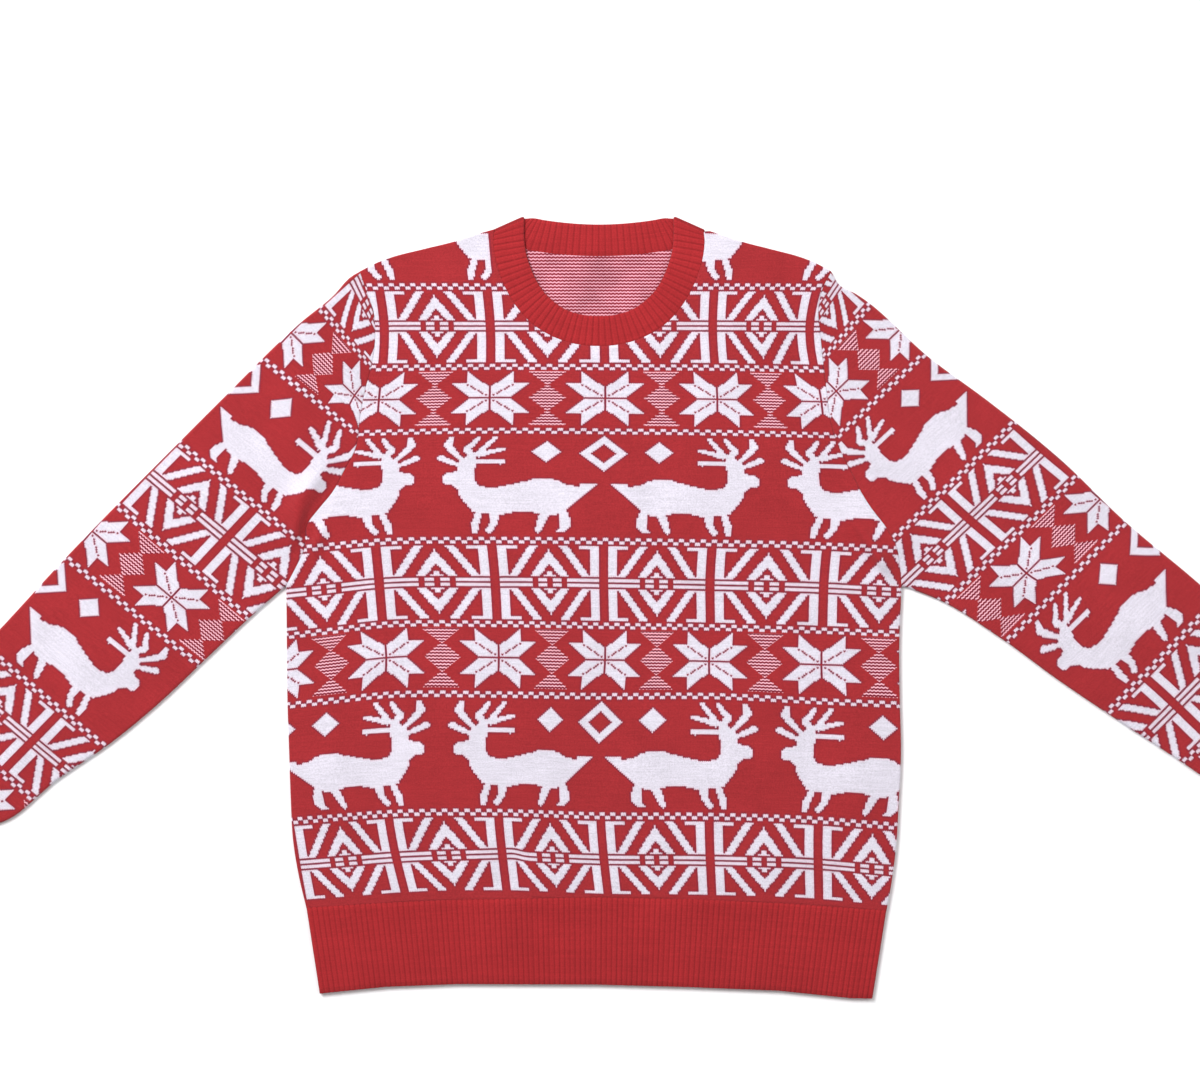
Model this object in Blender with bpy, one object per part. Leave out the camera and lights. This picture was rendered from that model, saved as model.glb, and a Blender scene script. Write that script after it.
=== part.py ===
"""Christmas sweater: a knitted crew-neck pullover, laid flat on its back with both arms out.

Lengths are in metres. In the tables x runs across the garment, y from the hem up to the neck
and z up from the table that it lies on. The front lies on the back, so each point of a showing
face is a point of its plain inner face, moved out by the thickness of the knitting. The
garment is moved at the end, so that the origin is under the middle of its box.
"""

from collections import namedtuple
from math import cos, radians, sin

import bmesh
import bpy
import numpy as np

NAME = "christmas_sweater"

# Thickness of the cloth and how its pieces meet
WALL = 0.0024  # jacquard knitting with the yarn carried behind it
RIB_WALL = 0.0020  # ribbing, measured in a furrow
RIB_HEIGHT = 0.0009  # a rib over its furrow
INNER_RIB_HEIGHT = 0.0006  # the same on the neckband's inside, which shows at the back
GAP = 0.0003  # between two pieces at a seam, and between two layers
SEAM_GROOVE = 0.0012  # how far a showing face draws in beside a seam
FRONT_Z = WALL + GAP  # where the front layer rests on the back layer
MIDDLE_Z = WALL + GAP / 2  # where front and back layers meet
FOLD_TURNS = (-90, -45, 0, 45, 90)  # degrees, round an edge from the back to the front

# Ribs, and how finely the pieces are divided
HEM_RIBS = 108
CUFF_RIBS = 19
RIBS_PER_STEP = 3  # ribs of the neckband in each step of its curve
FRONT_NECK_STEPS = 20
BACK_NECK_STEPS = 10
SHOULDER_STEPS = 4
SLEEVE_STEPS = 10
CUFF_BACK_STEPS = 8

# The soft swell of the front layer, which dies away at the garment's outline
SWELL = 0.0010
SWELL_EDGE = 0.035

BodyRow = namedtuple("BodyRow", "height left right")
BODY = (
    BodyRow(0.069, -0.2640, 0.2575),
    BodyRow(0.094, -0.2700, 0.2620),
    BodyRow(0.130, -0.2760, 0.2665),
    BodyRow(0.166, -0.2780, 0.2685),
    BodyRow(0.211, -0.2795, 0.2705),
    BodyRow(0.256, -0.2810, 0.2695),
    BodyRow(0.306, -0.2815, 0.2690),
    BodyRow(0.359, -0.2820, 0.2710),
    BodyRow(0.376, -0.2730, 0.2695),
    BodyRow(0.393, -0.2655, 0.2668),
    BodyRow(0.412, -0.2640, 0.2570),
    BodyRow(0.428, -0.2525, 0.2446),
    BodyRow(0.443, -0.2403, 0.2349),
    BodyRow(0.462, -0.2300, 0.2256),
    BodyRow(0.482, -0.2196, 0.2154),
    BodyRow(0.508, -0.2160, 0.2070),
    BodyRow(0.535, -0.2110, 0.2035),
    BodyRow(0.560, -0.2045, 0.2005),
    BodyRow(0.585, -0.2020, 0.1980),
    BodyRow(0.605, -0.2035, 0.1962),
    BodyRow(0.625, -0.2105, 0.1998),
    BodyRow(0.641, -0.2160, 0.2079),
)
UNDERARM = 7  # the row of BODY where a sleeve's seam starts

HemRow = namedtuple("HemRow", "share seam bottom")
HEM = (
    HemRow(0.00, 0.0690, -0.0081),
    HemRow(0.12, 0.0732, -0.0020),
    HemRow(0.25, 0.0762, 0.0005),
    HemRow(0.50, 0.0783, 0.0000),
    HemRow(0.67, 0.0768, -0.0023),
    HemRow(0.83, 0.0728, -0.0055),
    HemRow(0.96, 0.0680, -0.0122),
    HemRow(1.00, 0.0666, -0.0126),
)
HEM_BOTTOM_LEFT = -0.2520
HEM_BOTTOM_RIGHT = 0.2448

ShoulderRow = namedtuple("ShoulderRow", "share height")
SHOULDER = (
    ShoulderRow(0.00, 0.6750),
    ShoulderRow(0.12, 0.6735),
    ShoulderRow(0.28, 0.6685),
    ShoulderRow(0.53, 0.6610),
    ShoulderRow(0.77, 0.6535),
    ShoulderRow(0.87, 0.6490),
    ShoulderRow(1.00, 0.6410),
)

# Half of the neckband, from its fold at the shoulder to the middle
NECK_X = -0.001
NeckRow = namedtuple("NeckRow", "free_x free_y seam_x seam_y")
FRONT_NECK = (
    NeckRow(0.0680, 0.6910, 0.0950, 0.6750),
    NeckRow(0.0670, 0.6720, 0.0940, 0.6580),
    NeckRow(0.0650, 0.6560, 0.0910, 0.6430),
    NeckRow(0.0610, 0.6440, 0.0850, 0.6290),
    NeckRow(0.0545, 0.6300, 0.0765, 0.6130),
    NeckRow(0.0460, 0.6190, 0.0640, 0.5975),
    NeckRow(0.0345, 0.6095, 0.0480, 0.5860),
    NeckRow(0.0190, 0.6030, 0.0260, 0.5770),
    NeckRow(0.0000, 0.6010, 0.0000, 0.5740),
)
BACK_NECK = (
    NeckRow(0.0680, 0.6910, 0.0950, 0.6750),
    NeckRow(0.0580, 0.6890, 0.0760, 0.6635),
    NeckRow(0.0460, 0.6870, 0.0530, 0.6590),
    NeckRow(0.0240, 0.6845, 0.0270, 0.6560),
    NeckRow(0.0000, 0.6835, 0.0000, 0.6550),
)

Spot = namedtuple("Spot", "x y")
LEFT_SLEEVE_UPPER = (
    Spot(-0.2160, 0.6410),
    Spot(-0.2230, 0.6370),
    Spot(-0.2400, 0.6190),
    Spot(-0.2670, 0.5970),
    Spot(-0.3400, 0.5260),
    Spot(-0.3760, 0.4900),
    Spot(-0.4820, 0.3820),
    Spot(-0.5400, 0.3190),
    Spot(-0.6290, 0.2274),
    Spot(-0.6292, 0.2097),
)
LEFT_SLEEVE_LOWER = (
    Spot(-0.2820, 0.3590),
    Spot(-0.3170, 0.3280),
    Spot(-0.3550, 0.2920),
    Spot(-0.3930, 0.2560),
    Spot(-0.4360, 0.2200),
    Spot(-0.4880, 0.1840),
    Spot(-0.5400, 0.1450),
    Spot(-0.5656, 0.1405),
)
RIGHT_SLEEVE_UPPER = (
    Spot(0.2079, 0.6410),
    Spot(0.2140, 0.6300),
    Spot(0.2300, 0.6210),
    Spot(0.2980, 0.5620),
    Spot(0.3470, 0.5260),
    Spot(0.4140, 0.4720),
    Spot(0.4700, 0.4180),
    Spot(0.5400, 0.3590),
    Spot(0.6446, 0.2571),
    Spot(0.6470, 0.2404),
)
RIGHT_SLEEVE_LOWER = (
    Spot(0.2710, 0.3590),
    Spot(0.3051, 0.3456),
    Spot(0.3627, 0.3096),
    Spot(0.4122, 0.2736),
    Spot(0.4653, 0.2376),
    Spot(0.5400, 0.1881),
    Spot(0.5736, 0.1628),
    Spot(0.5904, 0.1652),
)

CUFF_LENGTH = 0.060
CUFF_WIDTH_AT_SEAM = 0.092
CUFF_WIDTH_AT_HAND = 0.087
LEFT_CUFF_ANGLE = 222.5  # degrees from +x, the way the hand comes out
RIGHT_CUFF_ANGLE = -37.0

# Folds and swells of the front layer: angle is degrees from +x along the fold
Fold = namedtuple("Fold", "x y angle length width height")
FOLDS = (
    Fold(-0.272, 0.440, 51, 0.038, 0.013, 0.0042),  # roll of the sleeve at the left armpit
    Fold(-0.261, 0.405, 70, 0.012, 0.008, -0.0030),  # pocket below it
    Fold(0.255, 0.374, -64, 0.036, 0.009, 0.0036),  # pinch at the right armpit
    Fold(0.237, 0.384, -64, 0.030, 0.008, -0.0012),  # furrow beside it
    Fold(-0.140, 0.470, 62, 0.090, 0.040, 0.0012),
    Fold(0.150, 0.455, -58, 0.085, 0.042, 0.0013),
    Fold(-0.060, 0.250, 80, 0.110, 0.060, 0.0010),
    Fold(0.120, 0.190, 96, 0.090, 0.050, 0.0012),
    Fold(-0.190, 0.160, 100, 0.070, 0.035, 0.0009),
    Fold(-0.330, 0.450, 46, 0.080, 0.028, 0.0016),
    Fold(-0.440, 0.300, 43, 0.090, 0.030, 0.0014),
    Fold(0.330, 0.440, -40, 0.080, 0.030, 0.0015),
    Fold(0.470, 0.320, -38, 0.090, 0.028, 0.0014),
)

RED_YARN = (0.440, 0.038, 0.048, 1.0)
RED_RIB = (0.370, 0.024, 0.034, 1.0)


def smooth_curve(rows, steps):
    """steps + 1 rows, evenly spaced along a smooth curve through rows of any number of columns."""
    rows = np.array(rows, float)
    lengths = np.linalg.norm(np.diff(rows, axis=0), axis=1)
    at = np.concatenate([[0.0], np.cumsum(lengths)])
    slopes = np.gradient(rows, at, axis=0)
    wanted = np.linspace(0.0, at[-1], steps + 1)
    k = np.clip(np.searchsorted(at, wanted, side="right") - 1, 0, len(lengths) - 1)
    span = lengths[k][:, None]
    t = (wanted - at[k])[:, None] / span
    start = (1 + 2 * t) * (1 - t) ** 2 * rows[k] + t * (1 - t) ** 2 * span * slopes[k]
    return start + t**2 * (3 - 2 * t) * rows[k + 1] - t**2 * (1 - t) * span * slopes[k + 1]


def mirrored(half):
    """The whole neck from its left fold to its right one, about the garment's middle."""
    rows = np.array(half, float)
    left = rows * (-1, 1, -1, 1)
    whole = np.concatenate([left, rows[-2::-1]])
    return whole + (NECK_X, 0.0, NECK_X, 0.0)


def room_for_fold(neck):
    """The neck with its two end rows drawn in, so that the band's fold lies on the outline."""
    moved = neck.copy()
    for end, toward in ((0, -1), (-1, 1)):
        along = neck[end, 2:] - neck[end, :2]
        out = np.array((-along[1], along[0])) / np.linalg.norm(along) * toward
        moved[end] -= np.tile(out, 2) * MIDDLE_Z
    return moved


def left_normals(line):
    """Unit normals on the left of a polyline in plan, each the mean of its two segments."""
    steps = np.diff(line, axis=0)
    steps /= np.linalg.norm(steps, axis=1)[:, None]
    along = np.concatenate([steps[:1], steps[:-1] + steps[1:], steps[-1:]])
    along /= np.linalg.norm(along, axis=1)[:, None]
    return np.stack([-along[:, 1], along[:, 0]], axis=1)


def top_edge(neck):
    """A panel's top edge in plan, from the left armhole along the neck to the right one."""
    seam = neck[:, 2:]
    shares = np.array([row.share for row in SHOULDER])
    heights = np.array([row.height for row in SHOULDER])

    def shoulder(neck_x, armhole_x):
        across = neck_x + shares * (armhole_x - neck_x)
        return smooth_curve(np.stack([across, heights], axis=1), SHOULDER_STEPS)

    left = shoulder(seam[0, 0], BODY[-1].left)[::-1]
    right = shoulder(seam[-1, 0], BODY[-1].right)
    return np.concatenate([left[:-1], seam, right[1:]])


def hem_height(share, column):
    shares = [row.share for row in HEM]
    return np.interp(share, shares, [getattr(row, column) for row in HEM])


def panel_plan(top):
    """Rows of points in plan from the hem seam to the top edge, a column for each point of it.

    The columns are even at the hem. Towards the top they close up to the top edge's own points,
    and there the armholes move the shoulders' columns and leave the neck's where they are.
    """
    share = np.linspace(0.0, 1.0, len(top))
    columns = np.arange(len(top))
    by_left = np.clip(1 - columns / SHOULDER_STEPS, 0.0, 1.0)
    by_right = by_left[::-1]
    seam = hem_height(share, "seam")
    rows = []
    for row in BODY:
        t = (row.height - BODY[0].height) / (BODY[-1].height - BODY[0].height)
        even = row.left + share * (row.right - row.left)
        shaped = top[:, 0] + by_left * (row.left - top[0, 0]) + by_right * (row.right - top[-1, 0])
        x = even + t * (shaped - even)
        y = seam + t * (top[:, 1] - seam)
        rows.append(np.stack([x, y], axis=1))
    return np.array(rows)


def drawn_in(plan, still=0):
    """The plan with its border drawn in by a seam's groove, but for the neck's columns, which stay."""
    rows, columns = plan.shape[:2]
    ring = [(0, j) for j in range(columns - 1)]
    ring += [(i, columns - 1) for i in range(rows - 1)]
    ring += [(rows - 1, j) for j in range(columns - 1, 0, -1)]
    ring += [(i, 0) for i in range(rows - 1, 0, -1)]
    line = np.array([plan[spot] for spot in ring])
    closed = np.concatenate([line[-1:], line, line[:1]])
    inward = left_normals(closed)[1:-1]
    moved = plan.copy()
    for (i, j), normal in zip(ring, inward):
        at_neck = still and i == rows - 1 and still <= j < columns - still
        if not at_neck:
            moved[i, j] += normal * SEAM_GROOVE
    return moved


def outline():
    """The garment's outline in plan, as lines that the front layer's swell dies away at."""
    left_side = [(row.left, row.height) for row in BODY[: UNDERARM + 1]]
    right_side = [(row.right, row.height) for row in BODY[: UNDERARM + 1]]
    hem = [
        (HEM_BOTTOM_LEFT + row.share * (HEM_BOTTOM_RIGHT - HEM_BOTTOM_LEFT), row.bottom)
        for row in HEM
    ]
    sleeves = [LEFT_SLEEVE_UPPER, LEFT_SLEEVE_LOWER, RIGHT_SLEEVE_UPPER, RIGHT_SLEEVE_LOWER]
    neck = mirrored(FRONT_NECK)
    folds = [[neck[0, :2], neck[0, 2:]], [neck[-1, :2], neck[-1, 2:]]]
    top = top_edge(neck)
    shoulders = [top[: SHOULDER_STEPS + 1], top[-SHOULDER_STEPS - 1 :]]
    cuffs = [[sleeves[0][-1], sleeves[1][-1]], [sleeves[2][-1], sleeves[3][-1]]]
    corners = [[hem[0], left_side[0]], [hem[-1], right_side[0]]]
    lines = [left_side, right_side, hem, *sleeves, *folds, *shoulders, *cuffs, *corners]
    return [np.array(line, float) for line in lines]


def distance_to(line, points):
    """The distance of each point in plan to a polyline."""
    start, step = line[:-1], np.diff(line, axis=0)
    offset = points[:, None, :] - start[None, :, :]
    along = (offset * step).sum(2) / (step * step).sum(1)
    nearest = offset - np.clip(along, 0.0, 1.0)[..., None] * step
    return np.linalg.norm(nearest, axis=2).min(1)


def front_lift(plan):
    """How far the front layer stands off the back layer at each point in plan."""
    points = np.reshape(plan, (-1, 2))
    lift = np.full(len(points), SWELL)
    for fold in FOLDS:
        turn = radians(fold.angle)
        x, y = (points - (fold.x, fold.y)).T
        along = (x * cos(turn) + y * sin(turn)) / fold.length
        across = (y * cos(turn) - x * sin(turn)) / fold.width
        lift += fold.height * np.exp(-(along**2) - across**2)
    inside = np.min([distance_to(line, points) for line in outline()], axis=0)
    share = np.clip(inside / SWELL_EDGE, 0.0, 1.0)
    lift = np.maximum(lift, 0.0) * share**2 * (3 - 2 * share)
    return lift.reshape(np.shape(plan)[:-1])


def raised(plan, heights):
    """Points in space over a plan, at the given heights."""
    heights = np.broadcast_to(heights, plan.shape[:-1])
    return np.concatenate([plan, heights[..., None]], axis=-1)


def cloth(name, outside, inside, colour, tube=False):
    """One closed piece of cloth between two grids of points; a tube's rows close on themselves."""
    rows, columns = outside.shape[:2]
    mesh = bpy.data.meshes.new(name)
    shape = bmesh.new()
    outer = [[shape.verts.new(point) for point in row] for row in outside]
    inner = [[shape.verts.new(point) for point in row] for row in inside]
    steps = columns if tube else columns - 1
    for j in range(steps):
        k = (j + 1) % columns
        for i in range(rows - 1):
            for grid in (outer, inner):
                shape.faces.new((grid[i][j], grid[i][k], grid[i + 1][k], grid[i + 1][j]))
        for i in (0, rows - 1):
            shape.faces.new((outer[i][j], outer[i][k], inner[i][k], inner[i][j]))
    if not tube:
        for i in range(rows - 1):
            for j in (0, columns - 1):
                shape.faces.new((outer[i][j], outer[i + 1][j], inner[i + 1][j], inner[i][j]))
    bmesh.ops.recalc_face_normals(shape, faces=shape.faces)
    shape.to_mesh(mesh)
    shape.free()
    mesh.shade_smooth()
    mesh.set_sharp_from_angle(angle=radians(35))
    mesh.materials.append(yarn(name, colour))
    piece = bpy.data.objects.new(name, mesh)
    bpy.data.collections[NAME].objects.link(piece)


def yarn(name, colour):
    material = bpy.data.materials.new(name)
    material.use_nodes = True
    shader = material.node_tree.nodes["Principled BSDF"]
    shader.inputs["Base Color"].default_value = colour
    shader.inputs["Roughness"].default_value = 0.9
    shader.inputs["Metallic"].default_value = 0.0
    return material


def body_panels(front_plan, back_plan):
    lift = front_lift(front_plan)
    inside = raised(front_plan, FRONT_Z + lift)
    outside = raised(drawn_in(front_plan, SHOULDER_STEPS), FRONT_Z + WALL + lift)
    cloth("front_panel", outside, inside, RED_YARN)
    outside = raised(drawn_in(back_plan, SHOULDER_STEPS), 0.0)
    cloth("back_panel", outside, raised(back_plan, WALL), RED_YARN)


def hem_plan(share):
    """Two rows of points in plan, at the hem's bottom edge and just under its seam."""
    seam_x = BODY[0].left + share * (BODY[0].right - BODY[0].left)
    bottom_x = HEM_BOTTOM_LEFT + share * (HEM_BOTTOM_RIGHT - HEM_BOTTOM_LEFT)
    bottom = np.stack([bottom_x, hem_height(share, "bottom")], axis=1)
    seam = np.stack([seam_x, hem_height(share, "seam") - GAP], axis=1)
    return np.array([bottom, seam])


def hem_ribs(columns):
    """The front's hem is ribbed on its showing face, and the back's rests flat on its own."""
    plan = hem_plan(np.linspace(0.0, 1.0, 2 * HEM_RIBS + 1))
    lift = front_lift(plan)
    crest = RIB_HEIGHT * (np.arange(2 * HEM_RIBS + 1) % 2)
    outside = raised(drawn_in(plan), FRONT_Z + RIB_WALL + lift + crest)
    cloth("front_hem_rib", outside, raised(plan, FRONT_Z + lift), RED_RIB)
    plan = hem_plan(np.linspace(0.0, 1.0, columns))
    cloth("back_hem_rib", raised(drawn_in(plan), 0.0), raised(plan, RIB_WALL), RED_RIB)


def round_fold(base, out, angle, at_front, at_back):
    """A point of a wall that turns from the back layer to the front one, about a line at mid-height."""
    radius = at_back + (at_front - at_back) * (sin(angle) + 1) / 2
    spot = np.asarray(base) + np.asarray(out) * cos(angle) * radius
    return (*spot, MIDDLE_Z + sin(angle) * radius)


def flat_loop(front, back, outer, inner, lift, crest):
    """The outer and inner points round a flattened tube.

    front and back run from its upper edge to its lower one and share their ends. outer and inner
    are pairs: how far the wall's faces stand from mid-height in the front and in the back.
    """
    loops = []
    for (at_front, at_back), ribs in ((outer, crest), (inner, 0 * crest)):
        edge_out = []
        for end, beside in ((0, 1), (-1, -2)):
            out = front[end] - front[beside]
            edge_out.append(out / np.linalg.norm(out))
        tops = MIDDLE_Z + at_front + lift + ribs
        loop = []
        for turn in FOLD_TURNS:
            base = front[0] - edge_out[0] * outer[1]
            loop.append(round_fold(base, edge_out[0], radians(turn), at_front, at_back))
        loop += [(*spot, z) for spot, z in zip(front[1:-1], tops[1:-1])]
        for turn in FOLD_TURNS[::-1]:
            base = front[-1] - edge_out[1] * outer[1]
            loop.append(round_fold(base, edge_out[1], radians(turn), at_front, at_back))
        loop += [(*spot, MIDDLE_Z - at_back) for spot in back[-2:0:-1]]
        loops.append(loop)
    return loops


def sleeve(name, armhole, upper, lower):
    """A tube from the armhole to the cuff's seam, its first section along the armhole."""
    away = left_normals(armhole) * (1 if armhole[0, 0] > 0 else -1)
    upper_line = smooth_curve(upper, SLEEVE_STEPS)
    lower_line = smooth_curve(lower, SLEEVE_STEPS)
    share = np.linspace(0.0, 1.0, len(armhole))[:, None]
    bow = armhole - ((1 - share) * armhole[0] + share * armhole[-1])
    sides = ([], [])
    for i in range(SLEEVE_STEPS + 1):
        left_over = (1 - i / SLEEVE_STEPS) ** 3
        row = (1 - share) * upper_line[i] + share * lower_line[i] + bow * left_over
        for side, groove in ((0, SEAM_GROOVE), (1, 0.0)):
            line = row + away * (GAP + groove) if i == 0 else row
            faces = (MIDDLE_Z, MIDDLE_Z), (GAP / 2, GAP / 2)
            plain = np.zeros(len(line))
            loops = flat_loop(line, line, *faces, front_lift(line), plain)
            sides[side].append(loops[side])
    cloth(name, np.array(sides[0]), np.array(sides[1]), RED_YARN, tube=True)


def cuff(name, upper, lower, angle):
    """A short ribbed tube that carries on from the sleeve's end."""
    turn = radians(angle)
    along = np.array((cos(turn), sin(turn)))
    across = np.array(lower[-1], float) - upper[-1]
    across /= np.linalg.norm(across)
    seam = (np.array(upper[-1], float) + lower[-1]) / 2
    share = np.linspace(-0.5, 0.5, 2 * CUFF_RIBS + 1)[:, None]
    back_share = np.linspace(-0.5, 0.5, CUFF_BACK_STEPS + 1)[:, None]
    crest = RIB_HEIGHT * (np.arange(2 * CUFF_RIBS + 1) % 2)
    ends = ((GAP, CUFF_WIDTH_AT_SEAM), (CUFF_LENGTH, CUFF_WIDTH_AT_HAND))
    faces = (
        (FRONT_Z + RIB_WALL - MIDDLE_Z, MIDDLE_Z),
        (GAP / 2, MIDDLE_Z - RIB_WALL),
    )
    sides = ([], [])
    for reach, width in ends:
        middle = seam + along * reach
        front = middle + across * share * width
        back = middle + across * back_share * width
        loops = flat_loop(front, back, *faces, 0.0 * crest, crest)
        for side in (0, 1):
            sides[side].append(loops[side])
    cloth(name, np.array(sides[0]), np.array(sides[1]), RED_RIB, tube=True)


def rib_rows(neck):
    """The neck's rows with two columns for each rib, on the straight steps between its own rows."""
    per_step = 2 * RIBS_PER_STEP
    fine = np.arange((len(neck) - 1) * per_step + 1) / per_step
    return np.stack([np.interp(fine, np.arange(len(neck)), c) for c in neck.T], axis=1)


def neckband(front, back):
    """One ring: the front half, the fold at the right shoulder, the back half and the left fold."""
    front_rows, back_rows = rib_rows(front), rib_rows(back)
    outer_front = FRONT_Z + RIB_WALL - MIDDLE_Z
    inner_back = MIDDLE_Z - RIB_WALL
    rings = {"outside": [], "inside": []}

    def add(row, out, angle, front_crest, back_crest):
        free, seam = row[:2], row[2:]
        seam = seam + (free - seam) / np.linalg.norm(free - seam) * GAP
        sides = (
            ("outside", outer_front + front_crest, MIDDLE_Z),
            ("inside", GAP / 2, inner_back - back_crest),
        )
        for side, at_front, at_back in sides:
            ends = [round_fold(spot, out, radians(angle), at_front, at_back) for spot in (free, seam)]
            rings[side].append(ends)

    def fold(row, toward, turns):
        along = row[2:] - row[:2]
        out = np.array((-along[1], along[0])) / np.linalg.norm(along) * toward
        for angle in turns:
            add(row, out, angle, 0.0, 0.0)

    flat = np.zeros(2)
    for index, row in enumerate(front_rows[1:-1], 1):
        add(row, flat, 90, RIB_HEIGHT * (index % 2), 0.0)
    fold(front[-1], 1, FOLD_TURNS[::-1])
    for index, row in enumerate(back_rows[-2:0:-1], 1):
        add(row, flat, -90, 0.0, INNER_RIB_HEIGHT * (index % 2))
    fold(front[0], -1, FOLD_TURNS)
    outside = np.array(rings["outside"]).transpose(1, 0, 2)
    inside = np.array(rings["inside"]).transpose(1, 0, 2)
    half = slice(0, len(front_rows) - 2)
    for grid in (outside, inside):
        grid[:, half, 2] += front_lift(grid[:, half, :2])
    cloth("neckband", outside, inside, RED_RIB, tube=True)


def centre_on_origin():
    """Moves every piece, so that the origin is under the middle of the garment's box."""
    meshes = [piece.data for piece in bpy.data.collections[NAME].objects]
    points = np.array([vertex.co for mesh in meshes for vertex in mesh.vertices])
    middle = (points.min(0) + points.max(0)) / 2
    for mesh in meshes:
        for vertex in mesh.vertices:
            vertex.co.x -= middle[0]
            vertex.co.y -= middle[1]


def main():
    for old in list(bpy.data.objects):
        bpy.data.objects.remove(old)
    collection = bpy.data.collections.new(NAME)
    bpy.context.scene.collection.children.link(collection)

    front_neck = room_for_fold(smooth_curve(mirrored(FRONT_NECK), FRONT_NECK_STEPS))
    back_neck = room_for_fold(smooth_curve(mirrored(BACK_NECK), BACK_NECK_STEPS))
    front_plan = panel_plan(top_edge(front_neck))
    back_plan = panel_plan(top_edge(back_neck))
    body_panels(front_plan, back_plan)
    hem_ribs(back_plan.shape[1])
    neckband(front_neck, back_neck)
    armhole = front_plan[UNDERARM:][::-1]
    sleeve("sleeve_left", armhole[:, 0], LEFT_SLEEVE_UPPER, LEFT_SLEEVE_LOWER)
    sleeve("sleeve_right", armhole[:, -1], RIGHT_SLEEVE_UPPER, RIGHT_SLEEVE_LOWER)
    cuff("cuff_left", LEFT_SLEEVE_UPPER, LEFT_SLEEVE_LOWER, LEFT_CUFF_ANGLE)
    cuff("cuff_right", RIGHT_SLEEVE_UPPER, RIGHT_SLEEVE_LOWER, RIGHT_CUFF_ANGLE)
    centre_on_origin()


main()
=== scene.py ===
"""Christmas sweater: the knitting of a crew-neck pullover, laid flat on its back with both arms out.

Lengths are in metres. The tables are in the garment's own plan: x runs across it, y from the hem up
to the neck and z up from the table that it lies on. Each finished mesh is moved to where the solids
are. Places in the knitting are counted in stitches: across from the middle of the body, or from the
upper fold of a sleeve, and in rows up from the lowest checked line on the body.
"""

from collections import namedtuple
from math import cos, pi, radians, sin

import bmesh
import bpy
import numpy as np
from bpy.props import FloatProperty, FloatVectorProperty, PointerProperty
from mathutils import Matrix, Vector
from mathutils.geometry import delaunay_2d_cdt


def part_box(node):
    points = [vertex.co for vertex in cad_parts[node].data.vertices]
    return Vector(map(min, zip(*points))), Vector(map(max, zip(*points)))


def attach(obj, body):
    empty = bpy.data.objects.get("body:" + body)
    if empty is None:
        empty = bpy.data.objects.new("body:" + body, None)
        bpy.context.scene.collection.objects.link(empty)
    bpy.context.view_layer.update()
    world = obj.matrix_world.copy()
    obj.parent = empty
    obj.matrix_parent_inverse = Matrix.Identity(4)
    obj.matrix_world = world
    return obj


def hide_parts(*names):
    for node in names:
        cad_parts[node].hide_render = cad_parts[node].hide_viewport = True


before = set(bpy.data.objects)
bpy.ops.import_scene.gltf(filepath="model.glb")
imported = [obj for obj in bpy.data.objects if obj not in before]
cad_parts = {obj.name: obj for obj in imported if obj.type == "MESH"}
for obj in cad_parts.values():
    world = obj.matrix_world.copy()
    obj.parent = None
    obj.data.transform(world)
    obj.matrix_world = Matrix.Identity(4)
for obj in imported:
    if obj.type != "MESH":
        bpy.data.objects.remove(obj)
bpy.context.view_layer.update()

bl_info = {
    "name": "Christmas Sweater",
    "version": (1, 0, 0),
    "blender": (4, 5, 0),
    "location": "3D View > Sidebar > Sweater",
    "description": "Knits a patterned pullover that lies flat on a table",
    "category": "Add Mesh",
}

# Thickness of the cloth and how its pieces meet
WALL = 0.0024  # jacquard knitting with the yarn carried behind it
RIB_WALL = 0.0020  # ribbing, measured in a furrow
RIB_HEIGHT = 0.0008  # a rib over its furrow
NECK_RIB_HEIGHT = 0.0006  # the same on the neckband, which is stretched flatter
INNER_RIB_HEIGHT = 0.0005  # and on its inside, which shows at the back
RIB_ROW = 0.0018  # a row of stitches in the ribbing
GAP = 0.0003  # between two layers, and between a sleeve and its cuff
LAP = 0.0005  # how far the ribbing is linked over the edge of a panel
NECKBAND_WIDTH = 0.027  # from its seam to its free edge
EDGE_ROUND = 0.0012  # how far the cloth rounds off at the garment's outline
SEAM_ROUND = 0.0003  # the same beside a seam, where two pieces touch
FRONT_Z = WALL + GAP  # where the front layer rests on the back layer
MIDDLE_Z = WALL + GAP / 2  # where front and back layers meet

# How finely the pieces are divided
HEM_RIBS = 108
CUFF_RIBS = 19
FRONT_NECK_RIBS = 52
BACK_NECK_RIBS = 30
FRONT_NECK_STEPS = 20
BACK_NECK_STEPS = 10
POINTS_PER_RIB = 8
FOLD_POINTS = 9  # round the neckband's wall where it folds
HEM_POINTS = 91  # along the seam of the hem
CUFF_POINTS = 12  # along the seam of a cuff
SIDE_STEP = 0.006  # the longest step along a smooth edge
HEM_STEP = 0.006  # a step along the ribs of the hem
CUFF_STEP = 0.005

# The soft swell of the front layer, which dies away at the garment's outline
SWELL = 0.0010
SWELL_EDGE = 0.035

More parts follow.
